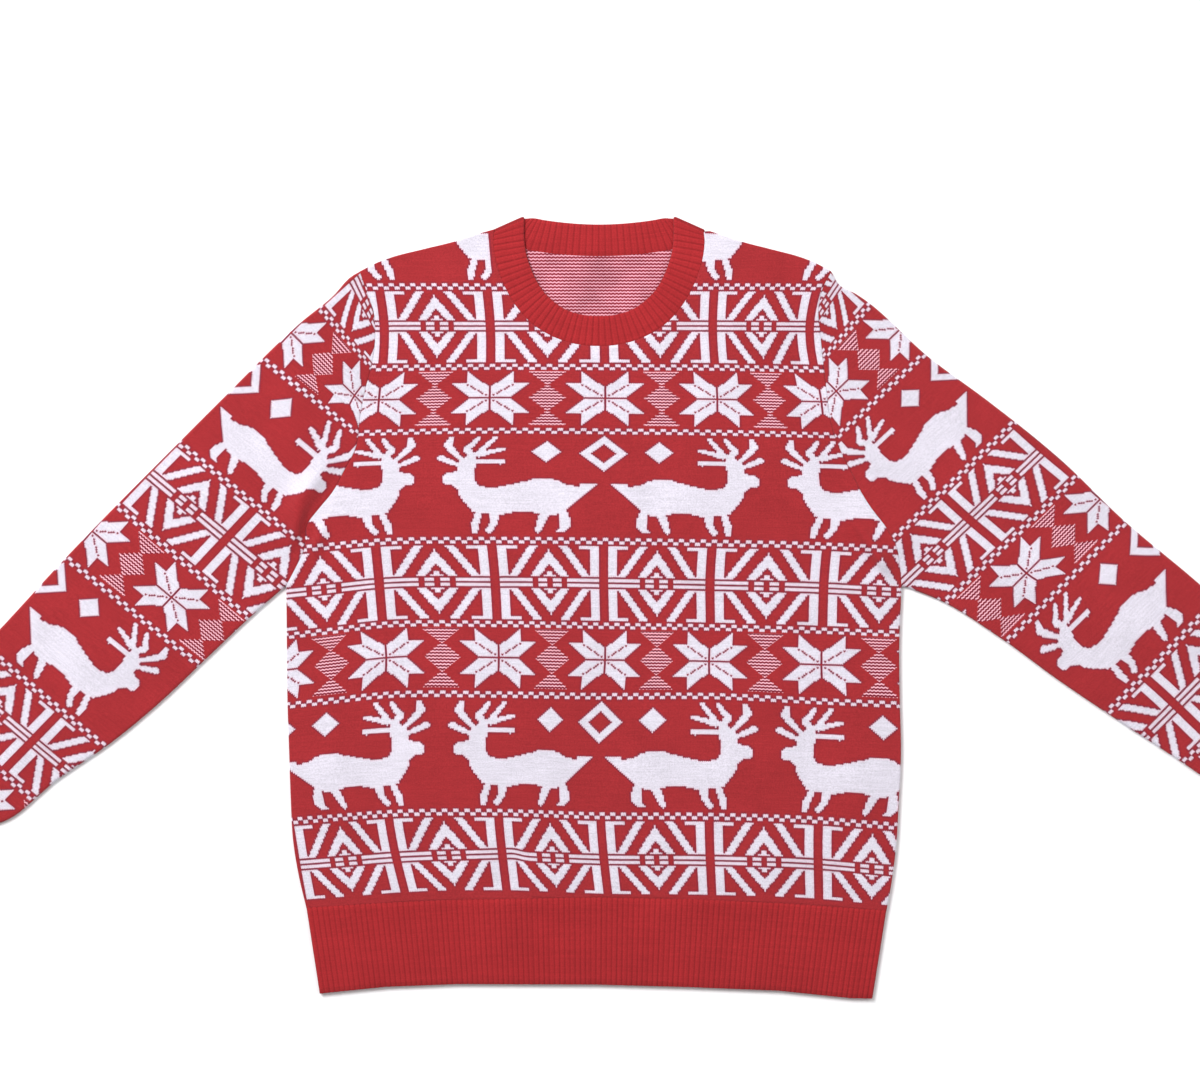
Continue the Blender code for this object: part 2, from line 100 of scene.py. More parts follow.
BodyRow = namedtuple("BodyRow", "height left right")
BODY = (
    BodyRow(0.069, -0.2640, 0.2575),
    BodyRow(0.094, -0.2700, 0.2620),
    BodyRow(0.130, -0.2760, 0.2665),
    BodyRow(0.166, -0.2780, 0.2685),
    BodyRow(0.211, -0.2795, 0.2705),
    BodyRow(0.256, -0.2810, 0.2695),
    BodyRow(0.306, -0.2815, 0.2690),
    BodyRow(0.359, -0.2820, 0.2710),
    BodyRow(0.376, -0.2730, 0.2695),
    BodyRow(0.393, -0.2655, 0.2668),
    BodyRow(0.412, -0.2640, 0.2570),
    BodyRow(0.428, -0.2525, 0.2446),
    BodyRow(0.443, -0.2403, 0.2349),
    BodyRow(0.462, -0.2300, 0.2256),
    BodyRow(0.482, -0.2196, 0.2154),
    BodyRow(0.508, -0.2160, 0.2070),
    BodyRow(0.535, -0.2110, 0.2035),
    BodyRow(0.560, -0.2045, 0.2005),
    BodyRow(0.585, -0.2020, 0.1980),
    BodyRow(0.605, -0.2035, 0.1962),
    BodyRow(0.625, -0.2105, 0.1998),
    BodyRow(0.641, -0.2160, 0.2079),
)
UNDERARM = 7  # the row of BODY where a sleeve's seam starts

HemRow = namedtuple("HemRow", "share seam bottom")
HEM = (
    HemRow(0.00, 0.0690, -0.0081),
    HemRow(0.12, 0.0732, -0.0020),
    HemRow(0.25, 0.0762, 0.0005),
    HemRow(0.50, 0.0783, 0.0000),
    HemRow(0.67, 0.0768, -0.0023),
    HemRow(0.83, 0.0728, -0.0055),
    HemRow(0.96, 0.0680, -0.0122),
    HemRow(1.00, 0.0666, -0.0126),
)
HEM_MIDDLE = 3  # the row of HEM in its middle
HEM_BOTTOM_LEFT = -0.2520
HEM_BOTTOM_RIGHT = 0.2448

# A shoulder's seam: share of the way from the neck to the armhole, and height
SHOULDER = (
    (0.00, 0.6790),
    (0.12, 0.6748),
    (0.28, 0.6685),
    (0.53, 0.6610),
    (0.77, 0.6535),
    (0.87, 0.6490),
    (1.00, 0.6410),
)

NECK_X = -0.001  # the neck's middle

# Half of the neckband, from its fold at the shoulder to the middle: the free edge's x and y, then
# the seam's
FRONT_NECK = (
    (0.0680, 0.6910, 0.0950, 0.6790),
    (0.0670, 0.6720, 0.0948, 0.6670),
    (0.0650, 0.6560, 0.0926, 0.6500),
    (0.0610, 0.6440, 0.0872, 0.6338),
    (0.0545, 0.6300, 0.0785, 0.6162),
    (0.0460, 0.6190, 0.0652, 0.5988),
    (0.0345, 0.6095, 0.0482, 0.5861),
    (0.0190, 0.6030, 0.0260, 0.5770),
    (0.0000, 0.6010, 0.0000, 0.5740),
)
BACK_NECK = (
    (0.0680, 0.6910, 0.0950, 0.6790),
    (0.0580, 0.6890, 0.0760, 0.6635),
    (0.0460, 0.6870, 0.0530, 0.6590),
    (0.0240, 0.6845, 0.0270, 0.6560),
    (0.0000, 0.6835, 0.0000, 0.6550),
)

# The folds of the sleeves in plan, from the shoulder and from the armpit to the cuff
LEFT_SLEEVE_UPPER = (
    (-0.2160, 0.6410),
    (-0.2230, 0.6370),
    (-0.2400, 0.6190),
    (-0.2670, 0.5970),
    (-0.3400, 0.5260),
    (-0.3760, 0.4900),
    (-0.4820, 0.3820),
    (-0.5400, 0.3190),
    (-0.6290, 0.2274),
    (-0.6292, 0.2097),
)
LEFT_SLEEVE_LOWER = (
    (-0.2820, 0.3590),
    (-0.3170, 0.3280),
    (-0.3550, 0.2920),
    (-0.3930, 0.2560),
    (-0.4360, 0.2200),
    (-0.4880, 0.1840),
    (-0.5400, 0.1450),
    (-0.5656, 0.1405),
)
RIGHT_SLEEVE_UPPER = (
    (0.2079, 0.6410),
    (0.2140, 0.6300),
    (0.2300, 0.6210),
    (0.2980, 0.5620),
    (0.3470, 0.5260),
    (0.4140, 0.4720),
    (0.4700, 0.4180),
    (0.5400, 0.3590),
    (0.6446, 0.2571),
    (0.6470, 0.2404),
)
RIGHT_SLEEVE_LOWER = (
    (0.2710, 0.3590),
    (0.3051, 0.3456),
    (0.3627, 0.3096),
    (0.4122, 0.2736),
    (0.4653, 0.2376),
    (0.5400, 0.1881),
    (0.5736, 0.1628),
    (0.5904, 0.1652),
)

CUFF_LENGTH = 0.060
CUFF_WIDTH_AT_SEAM = 0.092
CUFF_WIDTH_AT_HAND = 0.087
LEFT_CUFF_ANGLE = 222.5  # degrees from +x, the way the hand comes out
RIGHT_CUFF_ANGLE = -37.0

# Folds and swells of the front layer: middle in x and y, angle in degrees from +x along the fold,
# length, width and height
FOLDS = (
    (-0.265, 0.441, 56, 0.034, 0.0095, 0.0068),  # roll of the sleeve at the left armpit
    (-0.252, 0.432, 58, 0.030, 0.0060, -0.0022),  # furrow beside it, along the armhole
    (-0.2720, 0.411, 78, 0.017, 0.0055, 0.0062),  # its end, over the pocket
    (-0.2535, 0.400, 66, 0.014, 0.0052, 0.0056),  # bulge on the pocket's other side
    (-0.2625, 0.405, 80, 0.014, 0.0038, -0.0110),  # pocket between them
    (-0.2780, 0.380, 62, 0.026, 0.0060, -0.0018),  # the seam runs on in a furrow
    (0.2600, 0.366, -64, 0.030, 0.0060, 0.0052),  # pinch at the right armpit
    (0.2465, 0.388, -58, 0.030, 0.0050, 0.0062),  # ridge that runs into it
    (0.2385, 0.390, -58, 0.028, 0.0036, -0.0060),  # furrow along the ridge
    (0.2720, 0.402, 50, 0.030, 0.0120, 0.0022),
    (-0.140, 0.470, 62, 0.090, 0.040, 0.0012),
    (0.150, 0.455, -58, 0.085, 0.042, 0.0013),
    (-0.060, 0.250, 80, 0.110, 0.060, 0.0010),
    (0.120, 0.190, 96, 0.090, 0.050, 0.0012),
    (-0.190, 0.160, 100, 0.070, 0.035, 0.0009),
    (-0.330, 0.450, 46, 0.080, 0.028, 0.0016),
    (-0.440, 0.300, 43, 0.090, 0.030, 0.0014),
    (0.330, 0.440, -40, 0.080, 0.030, 0.0015),
    (0.470, 0.320, -38, 0.090, 0.028, 0.0014),
)

# How the body's knitting lies. For a few of its rows: where these stitches of the row are across the
# body, and how far below its middle they droop
LAY_STITCHES = (-150, -120, -60, 0, 60, 120, 150)
BODY_ACROSS = (
    (-45, (-0.2215, -0.1755, -0.0840, 0.0070, 0.1005, 0.1965, 0.2440)),
    (-2, (-0.2340, -0.1895, -0.0910, 0.0007, 0.0980, 0.1960, 0.2450)),
    (45, (-0.2455, -0.1965, -0.0935, -0.0010, 0.0990, 0.2015, 0.2530)),
    (72.5, (-0.2433, -0.1942, -0.0922, 0.0018, 0.0985, 0.2002, 0.2518)),
    (95, (-0.2410, -0.1920, -0.0909, 0.0045, 0.0979, 0.1988, 0.2506)),
    (117.5, (-0.2445, -0.1952, -0.0922, 0.0041, 0.0990, 0.1998, 0.2506)),
    (142, (-0.2480, -0.1983, -0.0942, 0.0033, 0.0987, 0.2008, 0.2506)),
    (202, (-0.2560, -0.2050, -0.1028, 0.0036, 0.1050, 0.2068, 0.2580)),
    (222, (-0.2532, -0.2034, -0.1033, 0.0033, 0.1053, 0.2040, 0.2546)),
    (240, (-0.2508, -0.2008, -0.0998, 0.0043, 0.1052, 0.2016, 0.2516)),
    (260, (-0.2480, -0.1986, -0.0991, 0.0047, 0.1053, 0.1988, 0.2480)),
    (307, (-0.2440, -0.1939, -0.0986, 0.0035, 0.1012, 0.1883, 0.2350)),
    (345, (-0.2520, -0.2020, -0.1040, 0.0030, 0.1040, 0.2000, 0.2500)),
)
BODY_DROP = (
    (-45, (0.0020, -0.0015, -0.0030, 0.0, 0.0010, 0.0045, 0.0090)),
    (-2, (0.0015, -0.0020, -0.0030, 0.0, 0.0005, 0.0040, 0.0080)),
    (45, (0.0025, -0.0020, -0.0026, 0.0, -0.0005, 0.0035, 0.0060)),
    (72.5, (0.0033, -0.0020, -0.0026, -0.0010, -0.0012, 0.0036, 0.0059)),
    (95, (0.0040, -0.0020, -0.0022, 0.0, 0.0012, 0.0043, 0.0058)),
    (117.5, (0.0049, -0.0008, -0.0016, 0.0, 0.0015, 0.0044, 0.0065)),
    (142, (0.0058, 0.0004, -0.0010, 0.0, 0.0018, 0.0045, 0.0072)),
    (202, (0.0040, 0.0010, -0.0008, 0.0, 0.0014, 0.0038, 0.0056)),
    (222, (0.0033, 0.0011, -0.0007, 0.0, 0.0013, 0.0036, 0.0050)),
    (240, (0.0027, 0.0012, -0.0006, 0.0, 0.0012, 0.0034, 0.0045)),
    (260, (0.0020, 0.0014, -0.0005, 0.0, 0.0010, 0.0032, 0.0040)),
    (307, (0.0005, 0.0, 0.0, 0.0, 0.0, 0.0005, 0.0010)),
    (345, (0.0005, 0.0, 0.0, 0.0, 0.0, 0.0005, 0.0010)),
)

# A small pull in the lowest stripes
PULL_ACROSS = -50
PULL_ROW = -23
PULL_HEIGHT = 0.0033
PULL_EDGE = 2.0  # stitches over which it starts
PULL_STITCHES = 30.0
PULL_ROWS = 14.0

# The height of a few of the body's rows at its middle
BODY_HEIGHTS = (
    (-49.5, 0.0765),
    (-23, 0.1125),
    (1.5, 0.1520),
    (72.5, 0.2583),
    (95, 0.2919),
    (117.5, 0.3240),
    (142, 0.3609),
    (166.5, 0.3987),
    (202, 0.4508),
    (237.5, 0.4972),
    (260, 0.5270),
    (282.5, 0.5562),
    (307, 0.5918),
    (331.5, 0.6273),
    (361, 0.6714),
)

# How a sleeve's knitting lies: a row, the x and y where it meets the upper fold, the way it runs
# from there in degrees from +x, and the width of its stitches
LEFT_SLEEVE_LAY = (
    (-212.5, -0.6069, 0.2507, -40.0, 0.00153),
    (-163.5, -0.5538, 0.3051, -40.0, 0.00153),
    (-92.5, -0.4784, 0.3825, -38.8, 0.00153),
    (-47.5, -0.4343, 0.4330, -40.5, 0.00157),
    (1.5, -0.3803, 0.4888, -39.1, 0.00155),
    (50, -0.3296, 0.5365, -40.5, 0.00149),
    (72.5, -0.3015, 0.5607, -38.0, 0.00144),
    (95, -0.2776, 0.5860, -44.8, 0.00134),
    (117.5, -0.2518, 0.6108, -49.5, 0.00126),
    (142, -0.2224, 0.6366, -64.5, 0.00108),
)
RIGHT_SLEEVE_LAY = (
    (-212.5, 0.6118, 0.2890, 225.0, 0.00155),
    (-163.5, 0.5523, 0.3444, 226.0, 0.00155),
    (-120, 0.5024, 0.3864, 224.8, 0.00164),
    (-92.5, 0.4742, 0.4181, 225.2, 0.00155),
    (-70, 0.4495, 0.4365, 225.0, 0.00157),
    (-47.5, 0.4265, 0.4568, 223.6, 0.00153),
    (-23, 0.3980, 0.4806, 223.7, 0.00152),
    (1.5, 0.3710, 0.5044, 223.9, 0.00151),
    (72.5, 0.2942, 0.5695, 223.4, 0.00144),
    (95, 0.2707, 0.5902, 224.1, 0.00136),
    (117.5, 0.2419, 0.6126, 229.0, 0.00126),
    (142, 0.2171, 0.6338, 236.0, 0.00099),
)

Sleeve = namedtuple("Sleeve", "upper lower lay cuff_angle armhole_step")
SLEEVES = {
    "left": Sleeve(LEFT_SLEEVE_UPPER, LEFT_SLEEVE_LOWER, LEFT_SLEEVE_LAY, LEFT_CUFF_ANGLE, 1),
    "right": Sleeve(RIGHT_SLEEVE_UPPER, RIGHT_SLEEVE_LOWER, RIGHT_SLEEVE_LAY, RIGHT_CUFF_ANGLE, -1),
}

# The chart repeats after this many rows, and starts at the checked line under the deer
CHART_ROWS = 165
MOTIF_STITCHES = 60  # and after this many stitches, in the stars and bars
DEER_STITCHES = 180  # and in the deer
DEER_ROWS = 71
STAR_ROWS = (75, 115)
STAR_MIDDLE = 95
TWILL_ROWS = 18  # an hourglass over and under the middle of the stars
GRID_ROWS = 120
GRID_MIDDLE = 142
CHECKED_ROWS = ((0, 4), (71, 75), (115, 119))
CHECKED_MIDDLE = 1.5
BODY_START = -45  # the body's first patterned row, over a few plain ones at the hem
NECK_PLAIN_ROW = 333  # from here up the body is plain beside the neckband
NECK_PLAIN_STITCHES = (-57, 52)  # between these
SLEEVE_PLAIN_STITCHES = 90  # from here down a sleeve has no deer

# The corners of the upright and the lying point in a quarter of a star, in stitches and rows from
# its middle
STAR_POINTS = (
    ((0.5, 0.5), (0.5, 7.9), (12.7, 18.7), (12.7, 10.0)),
    ((0.5, 0.5), (12.7, 10.0), (20.8, 10.7), (10.6, 0.5)),
)

# The diamonds over the deer, each with its middle and half its width and height
Diamond = namedtuple("Diamond", "x y width height")
OPEN_DIAMOND = Diamond(0, 55.2, 12.7, 12.7)
SMALL_DIAMOND = Diamond(29, 56.5, 7.8, 7.6)
DIAMOND_OPENING = 0.51  # the share of the open one that is left red

# A reindeer, built of strokes that taper from one round end to the other. Each end has its stitches
# from the middle of the tail's side, rows above the middle of the checked line, and half width.
DEER = (
    (28, 26.4, 11.4, 34, 27, 10.7),  # haunch and loin
    (34, 27, 10.7, 45.5, 25.8, 8.5),
    (45.5, 25.8, 8.5, 55, 23.2, 8.4),
    (55, 23.2, 8.4, 64.3, 25.4, 7.6),  # shoulder
    (13.8, 29.4, 3.8, 28, 26.4, 11.4),  # rump
    (4, 34.6, 0.6, 23.4, 20.3, 4.4),
    (4, 34.6, 0.5, 11, 33.4, 1.8),  # tail
    (68.3, 29, 6.2, 64.3, 20.9, 5.1),  # breast
    (70.3, 36, 4.7, 68.3, 29, 6.2),  # neck
    (70.3, 45.5, 4.6, 70.3, 36, 4.7),
    (69.2, 46.5, 4.5, 67.2, 52, 3.1),
    (71.8, 39, 4.5, 78.9, 37.6, 4.1),  # muzzle
    (70, 32, 4.2, 74.2, 36.4, 4.2),
    (64.6, 17, 2, 67.5, 9, 2),  # forelegs
    (67.5, 9, 2, 67.9, 5.8, 1.9),
    (56.8, 15.5, 2.7, 57.4, 10, 1.9),
    (57.4, 10, 1.9, 60.7, 5.6, 1.6),
    (30.9, 16, 2.6, 33.4, 10, 2.2),  # hind legs
    (33.4, 10, 2.2, 34.9, 5.8, 1.5),
    (21.5, 17, 2.5, 20, 10.3, 3),
    (20, 10.3, 3, 21.3, 7.4, 2.1),
    (21, 6.3, 1.2, 25, 5.8, 0.6),
    (50.7, 49.6, 1.4, 65, 49.6, 1.5),  # antlers
    (51.7, 48.3, 1, 52.2, 48.3, 1),
    (50.6, 57.8, 1.1, 55.5, 56.8, 1.6),
    (55.5, 56.8, 1.6, 63, 54, 1.5),
    (55.7, 66, 1.4, 63.5, 55, 1.7),
    (64.2, 66, 1.2, 69.8, 58, 2.1),
    (69.8, 58, 2.1, 66.5, 54, 1.8),
    (78.9, 66, 1.4, 80.3, 61, 2.2),
    (80.3, 61, 2.2, 72.3, 51, 1.3),
    (72.3, 51, 1.3, 71.4, 47, 1.5),
    (73.3, 46.8, 1.4, 83.1, 52, 2),
)

STITCHES_PER_CELL = 2  # a mesh face holds a block of two stitches by two rows
ROWS_AROUND = 2  # a face also knows the rows this far under and over it
TWILL_BIT = 2.0 ** (STITCHES_PER_CELL + 2 * ROWS_AROUND)
TWILL_NEAR_BIT = 2.0 * TWILL_BIT
LEAN = 0.6  # rows that a stitch's two legs rise from its middle to its sides


# Lines in plan


def step_lengths(line):
    return np.linalg.norm(np.diff(np.array(line, float), axis=0), axis=1)


def along_knots(at, knots, values):
    """Values read along a smooth line through knots, which runs on straight past its two ends."""
    knots, values = np.asarray(knots, float), np.asarray(values, float)
    slopes = np.gradient(values, knots, axis=0)
    near = np.clip(at, knots[0], knots[-1])
    k = np.clip(np.searchsorted(knots, near, side="right") - 1, 0, len(knots) - 2)
    here, there = (k, k + 1) if values.ndim == 1 else ((k, np.arange(len(k))), (k + 1, np.arange(len(k))))
    span = knots[k + 1] - knots[k]
    t = (near - knots[k]) / span
    start = (1 + 2 * t) * (1 - t) ** 2 * values[here] + t * (1 - t) ** 2 * span * slopes[here]
    end = t**2 * (3 - 2 * t) * values[there] - t**2 * (1 - t) * span * slopes[there]
    beyond = np.where(at < near, slopes[0], slopes[-1]) * (at - near)
    return start + end + beyond


def smooth_curve(rows, steps):
    """steps + 1 rows, evenly spaced along a smooth curve through rows of any number of columns."""
    at = np.concatenate([[0.0], np.cumsum(step_lengths(rows))])
    wanted = np.linspace(0.0, at[-1], steps + 1)
    return np.stack([along_knots(wanted, at, column) for column in np.array(rows, float).T], axis=1)


def smooth_edge(rows):
    """A smooth curve in plan, stepped finely enough for the edge of a piece."""
    return smooth_curve(rows, int(np.ceil(step_lengths(rows).sum() / SIDE_STEP)))


def left_normals(line):
    """Unit normals on the left of a polyline in plan, each the mean of its two segments."""
    steps = np.diff(line, axis=0)
    steps /= np.linalg.norm(steps, axis=1)[:, None]
    along = np.concatenate([steps[:1], steps[:-1] + steps[1:], steps[-1:]])
    along /= np.linalg.norm(along, axis=1)[:, None]
    return np.stack([-along[:, 1], along[:, 0]], axis=1)


def distance_to(line, points):
    """The distance of each point in plan to a polyline."""
    nearest = np.full(len(points), np.inf)
    for start, end in zip(line[:-1], line[1:]):
        step = end - start
        share = np.clip(((points - start) @ step) / (step @ step), 0.0, 1.0)
        offset = points - start - share[:, None] * step
        nearest = np.minimum(nearest, np.hypot(*offset.T))
    return nearest


def mirrored(half):
    """The whole neck from its left fold to its right one, about the garment's middle."""
    rows = np.array(half, float)
    left = rows * (-1, 1, -1, 1)
    whole = np.concatenate([left, rows[-2::-1]])
    return whole + (NECK_X, 0.0, NECK_X, 0.0)


def out_of_fold(row, toward):
    """The way out of the neckband's fold at a shoulder, where toward is 1 on the right, -1 on the left."""
    along = row[2:] - row[:2]
    return np.array((-along[1], along[0])) / np.linalg.norm(along) * toward


def neck_rows(half, steps, ribs):
    """The neck with points for each rib, its two ends drawn in so that the band's fold has room."""
    neck = smooth_curve(mirrored(half), steps)
    for end, toward in ((0, -1), (-1, 1)):
        neck[end] -= np.tile(out_of_fold(neck[end], toward), 2) * MIDDLE_Z
    return smooth_curve(neck, ribs * POINTS_PER_RIB)


def front_neck():
    return neck_rows(FRONT_NECK, FRONT_NECK_STEPS, FRONT_NECK_RIBS)


def back_neck():
    return neck_rows(BACK_NECK, BACK_NECK_STEPS, BACK_NECK_RIBS)


def hem_height(share, column):
    shares = [row.share for row in HEM]
    return np.interp(share, shares, [getattr(row, column) for row in HEM])


def side_rows(column, share):
    """One side of the body from the hem's seam up to the shoulder."""
    seam = hem_height(share, "seam")
    t = (np.array([row.height for row in BODY]) - BODY[0].height) / (BODY[-1].height - BODY[0].height)
    return np.stack([[getattr(row, column) for row in BODY], seam + t * (BODY[-1].height - seam)], axis=1)


def shoulder_line(neck_spot, armhole_spot):
    shares, heights = np.array(SHOULDER).T
    return smooth_edge(np.stack([neck_spot[0] + shares * (armhole_spot[0] - neck_spot[0]), heights], axis=1))


def body_lines(neck):
    """A body panel's sides in plan, in order round it from the hem's left end."""
    left, right = side_rows("left", 0.0), side_rows("right", 1.0)
    share = np.linspace(0.0, 1.0, HEM_POINTS)
    hem_x = left[0, 0] + share * (right[0, 0] - left[0, 0])
    seam = neck[:, 2:]
    return {
        "hem": np.stack([hem_x, hem_height(share, "seam")], axis=1),
        "right": smooth_edge(right[: UNDERARM + 1]),
        "right armhole": smooth_edge(right[UNDERARM:]),
        "right shoulder": shoulder_line(seam[-1], right[-1])[::-1],
        "neck": seam[:: POINTS_PER_RIB // 2][::-1],
        "left shoulder": shoulder_line(seam[0], left[-1]),
        "left armhole": smooth_edge(left[UNDERARM:])[::-1],
        "left": smooth_edge(left[: UNDERARM + 1])[::-1],
    }


def garment_outline():
    """The garment's outline in plan, as lines that the front layer's swell dies away at."""
    neck = smooth_curve(mirrored(FRONT_NECK), FRONT_NECK_STEPS)
    body = body_lines(neck)
    share = np.array([row.share for row in HEM])
    hem_x = HEM_BOTTOM_LEFT + share * (HEM_BOTTOM_RIGHT - HEM_BOTTOM_LEFT)
    hem = np.stack([hem_x, [row.bottom for row in HEM]], axis=1)
    folds = [neck[0].reshape(2, 2), neck[-1].reshape(2, 2)]
    sleeves = [LEFT_SLEEVE_UPPER, LEFT_SLEEVE_LOWER, RIGHT_SLEEVE_UPPER, RIGHT_SLEEVE_LOWER]
    cuffs = [(sleeves[0][-1], sleeves[1][-1]), (sleeves[2][-1], sleeves[3][-1])]
    corners = [(hem[0], body["left"][-1]), (hem[-1], body["right"][0])]
    names = ("left", "right", "left shoulder", "right shoulder")
    lines = [body[name] for name in names] + [hem, *folds, *sleeves, *cuffs, *corners]
    return [np.array(line, float) for line in lines]


def front_lift(plan):
    """How far the front layer stands off the back layer at each point in plan."""
    points = np.reshape(plan, (-1, 2))
    lift = np.full(len(points), SWELL)
    for fold_x, fold_y, angle, length, width, height in FOLDS:
        turn = radians(angle)
        x, y = (points - (fold_x, fold_y)).T
        along = (x * cos(turn) + y * sin(turn)) / length
        across = (y * cos(turn) - x * sin(turn)) / width
        lift += height * np.exp(-(along**2) - across**2)
    inside = np.min([distance_to(line, points) for line in garment_outline()], axis=0)
    share = np.clip(inside / SWELL_EDGE, 0.0, 1.0)
    return np.maximum(lift, 0.0) * share**2 * (3 - 2 * share)


# Where the stitches lie
SEARCH_ACROSS = np.arange(-200, 201, 10.0)  # the coarse set that a search for stitches starts from
SEARCH_ROWS = np.arange(-320, 400, 10.0)
SEARCH_ROUNDS = 12
SEARCH_STEP = 0.01  # stitches, to find which way the knitting runs
SEARCH_ERROR = 1e-6


def pull(across, row):
    """How far a small pull in the knitting draws up the stitches on its left."""
    beside = 1 / (1 + np.exp((across - PULL_ACROSS) / PULL_EDGE))
    fade = np.exp(np.minimum(across - PULL_ACROSS, 0.0) / PULL_STITCHES)
    return PULL_HEIGHT * beside * fade * np.exp(-(((row - PULL_ROW) / PULL_ROWS) ** 2))


def read_lay(lay, across, row):
    """What a table of a few of the body's rows says at these stitches."""
    values = [along_knots(across, LAY_STITCHES, columns) for _, columns in lay]
    return along_knots(row, [knot for knot, _ in lay], values)


def body_place(stitches):
    """Where stitches of the body lie in plan."""
    across, row = stitches.T
    height = along_knots(row, *zip(*BODY_HEIGHTS)) - read_lay(BODY_DROP, across, row)
    return np.stack([read_lay(BODY_ACROSS, across, row), height + pull(across, row)], axis=1)


def sleeve_place(lay):
    """A function that says where stitches of a sleeve lie in plan."""
    knots, *columns = np.array(lay).T

    def place(stitches):
        across, row = stitches.T
        x, y, angle, width = (along_knots(row, knots, column) for column in columns)
        turn = np.radians(angle)
        return np.stack([x + np.cos(turn) * width * across, y + np.sin(turn) * width * across], axis=1)

    return place


def stitches_at(place, points):
    """The stitches that lie at points in plan, found from the nearest of a coarse set."""
    across, row = np.meshgrid(SEARCH_ACROSS, SEARCH_ROWS)
    coarse = np.stack([across.ravel(), row.ravel()], axis=1)
    spots = place(coarse)
    found = coarse[[np.argmin(((spots - point) ** 2).sum(1)) for point in points]]
    for _ in range(SEARCH_ROUNDS):
        here = place(found)
        by_across = (place(found + (SEARCH_STEP, 0.0)) - here) / SEARCH_STEP
        by_row = (place(found + (0.0, SEARCH_STEP)) - here) / SEARCH_STEP
        turn = np.stack([by_across, by_row], axis=2)
        found = found + np.linalg.solve(turn, (points - here)[..., None])[..., 0]
    missed = np.abs(place(found) - points).max()
    if missed > SEARCH_ERROR:
        raise ValueError(f"the lay of the stitches misses a point of the outline by {missed:.6f} m")
    return found


# The chart


def from_repeat(across, repeat):
    """How many stitches away the nearest repeat of a motif is."""
    return np.abs((across + repeat // 2) % repeat - repeat // 2)


def is_checked(across, row):
    """Blocks of three stitches by two rows, in two rows of blocks set off from each other."""
    upper = row >= 2
    start = np.where(upper, 0, 3)
    return (across - start) % 6 < 3


def is_grid(across, row):
    """Paired bars, crossed by stripes, with a cross inside a chevron between them.

    The upper half is a row shorter than the lower one.
    """
    from_bar = from_repeat(across, MOTIF_STITCHES)
    from_middle = MOTIF_STITCHES // 2 - from_bar
    height = np.abs(row - GRID_MIDDLE)
    reach = np.where(row > GRID_MIDDLE, 21, 22)
    bars = (from_bar >= 3) & (from_bar <= 7)
    feet = (height >= reach - 1) & (from_bar >= 3) & (from_bar <= 13)
    diagonals = np.abs(from_bar - 10.35 - (height - 4) * 0.663) <= 2.6
    chevrons = (from_middle <= (19.3 - height) * 0.69) & (from_middle >= (11 - height) * 0.74)
    cap = (height <= 6) & (from_middle <= np.where(height == 4, 3, 1))
    blocks = (from_middle >= 2) & (from_middle <= 6)
    stripes = (from_bar >= 3) & (from_bar <= 20)
    middle = np.isin(height, (1, 2)) & (blocks | stripes)
    upright = (height >= 4) & (height <= reach)
    return middle | (upright & (bars | feet | diagonals | chevrons | cap))


def in_corners(x, y, corners):
    """True inside a convex shape whose corners run clockwise."""
    inside = np.full(np.shape(x), True)
    for (ax, ay), (bx, by) in zip(corners, corners[1:] + corners[:1]):
        inside &= (bx - ax) * (y - ay) - (by - ay) * (x - ax) <= 0
    return inside


def is_star(across, row):
    """Eight-pointed stars, with an hourglass between each two."""
    from_star = from_repeat(across, MOTIF_STITCHES)
    height = np.abs(row - STAR_MIDDLE)
    upright, lying = (in_corners(from_star, height, corners) for corners in STAR_POINTS)
    parting = (np.abs(height - from_star * 0.79) < 0.5) & (from_star >= 2) & (from_star < 12.5)
    parting &= from_star % 4 != 3
    return ((upright | lying) & ~parting) | is_hourglass(across, row)


def is_hourglass(across, row):
    """A diamond between two triangles."""
    from_middle = MOTIF_STITCHES // 2 - from_repeat(across, MOTIF_STITCHES)
    height = np.abs(row - STAR_MIDDLE)
    return (height <= TWILL_ROWS) & (from_middle <= 0.7 + 0.97 * np.abs(9 - height))


def from_diamond(x, y, diamond):
    """How far a stitch is from the middle of a diamond, where 1 is on its outline."""
    return np.abs(x - diamond.x) / diamond.width + np.abs(y - diamond.y) / diamond.height


def is_deer(across, row):
    """Reindeer nose to nose and tail to tail, with a diamond over each meeting and each back."""
    x = from_repeat(across, DEER_STITCHES).astype(float)
    y = row - CHECKED_MIDDLE
    open_diamond = from_diamond(x, y, OPEN_DIAMOND)
    white = (open_diamond <= 1) & (open_diamond >= DIAMOND_OPENING)
    white |= from_diamond(x, y, SMALL_DIAMOND) <= 1
    for start_x, start_y, start_width, end_x, end_y, end_width in DEER:
        step_x, step_y = end_x - start_x, end_y - start_y
        share = ((x - start_x) * step_x + (y - start_y) * step_y) / (step_x**2 + step_y**2)
        share = np.clip(share, 0.0, 1.0)
        away = np.hypot(x - start_x - share * step_x, y - start_y - share * step_y)
        white |= away <= start_width + share * (end_width - start_width)
    return white


def is_white(across, row):
    """True for the stitches of the chart that are knitted in white."""
    row = row % CHART_ROWS
    white = np.where(row < DEER_ROWS, is_deer(across, row), False)
    stars = (row >= STAR_ROWS[0]) & (row < STAR_ROWS[1])
    white = np.where(stars, is_star(across, row), white)
    white = np.where(row >= GRID_ROWS, is_grid(across, row), white)
    for first, last in CHECKED_ROWS:
        checked = (row >= first) & (row < last)
        white = np.where(checked, is_checked(across, row - first), white)
    return white.astype(bool)


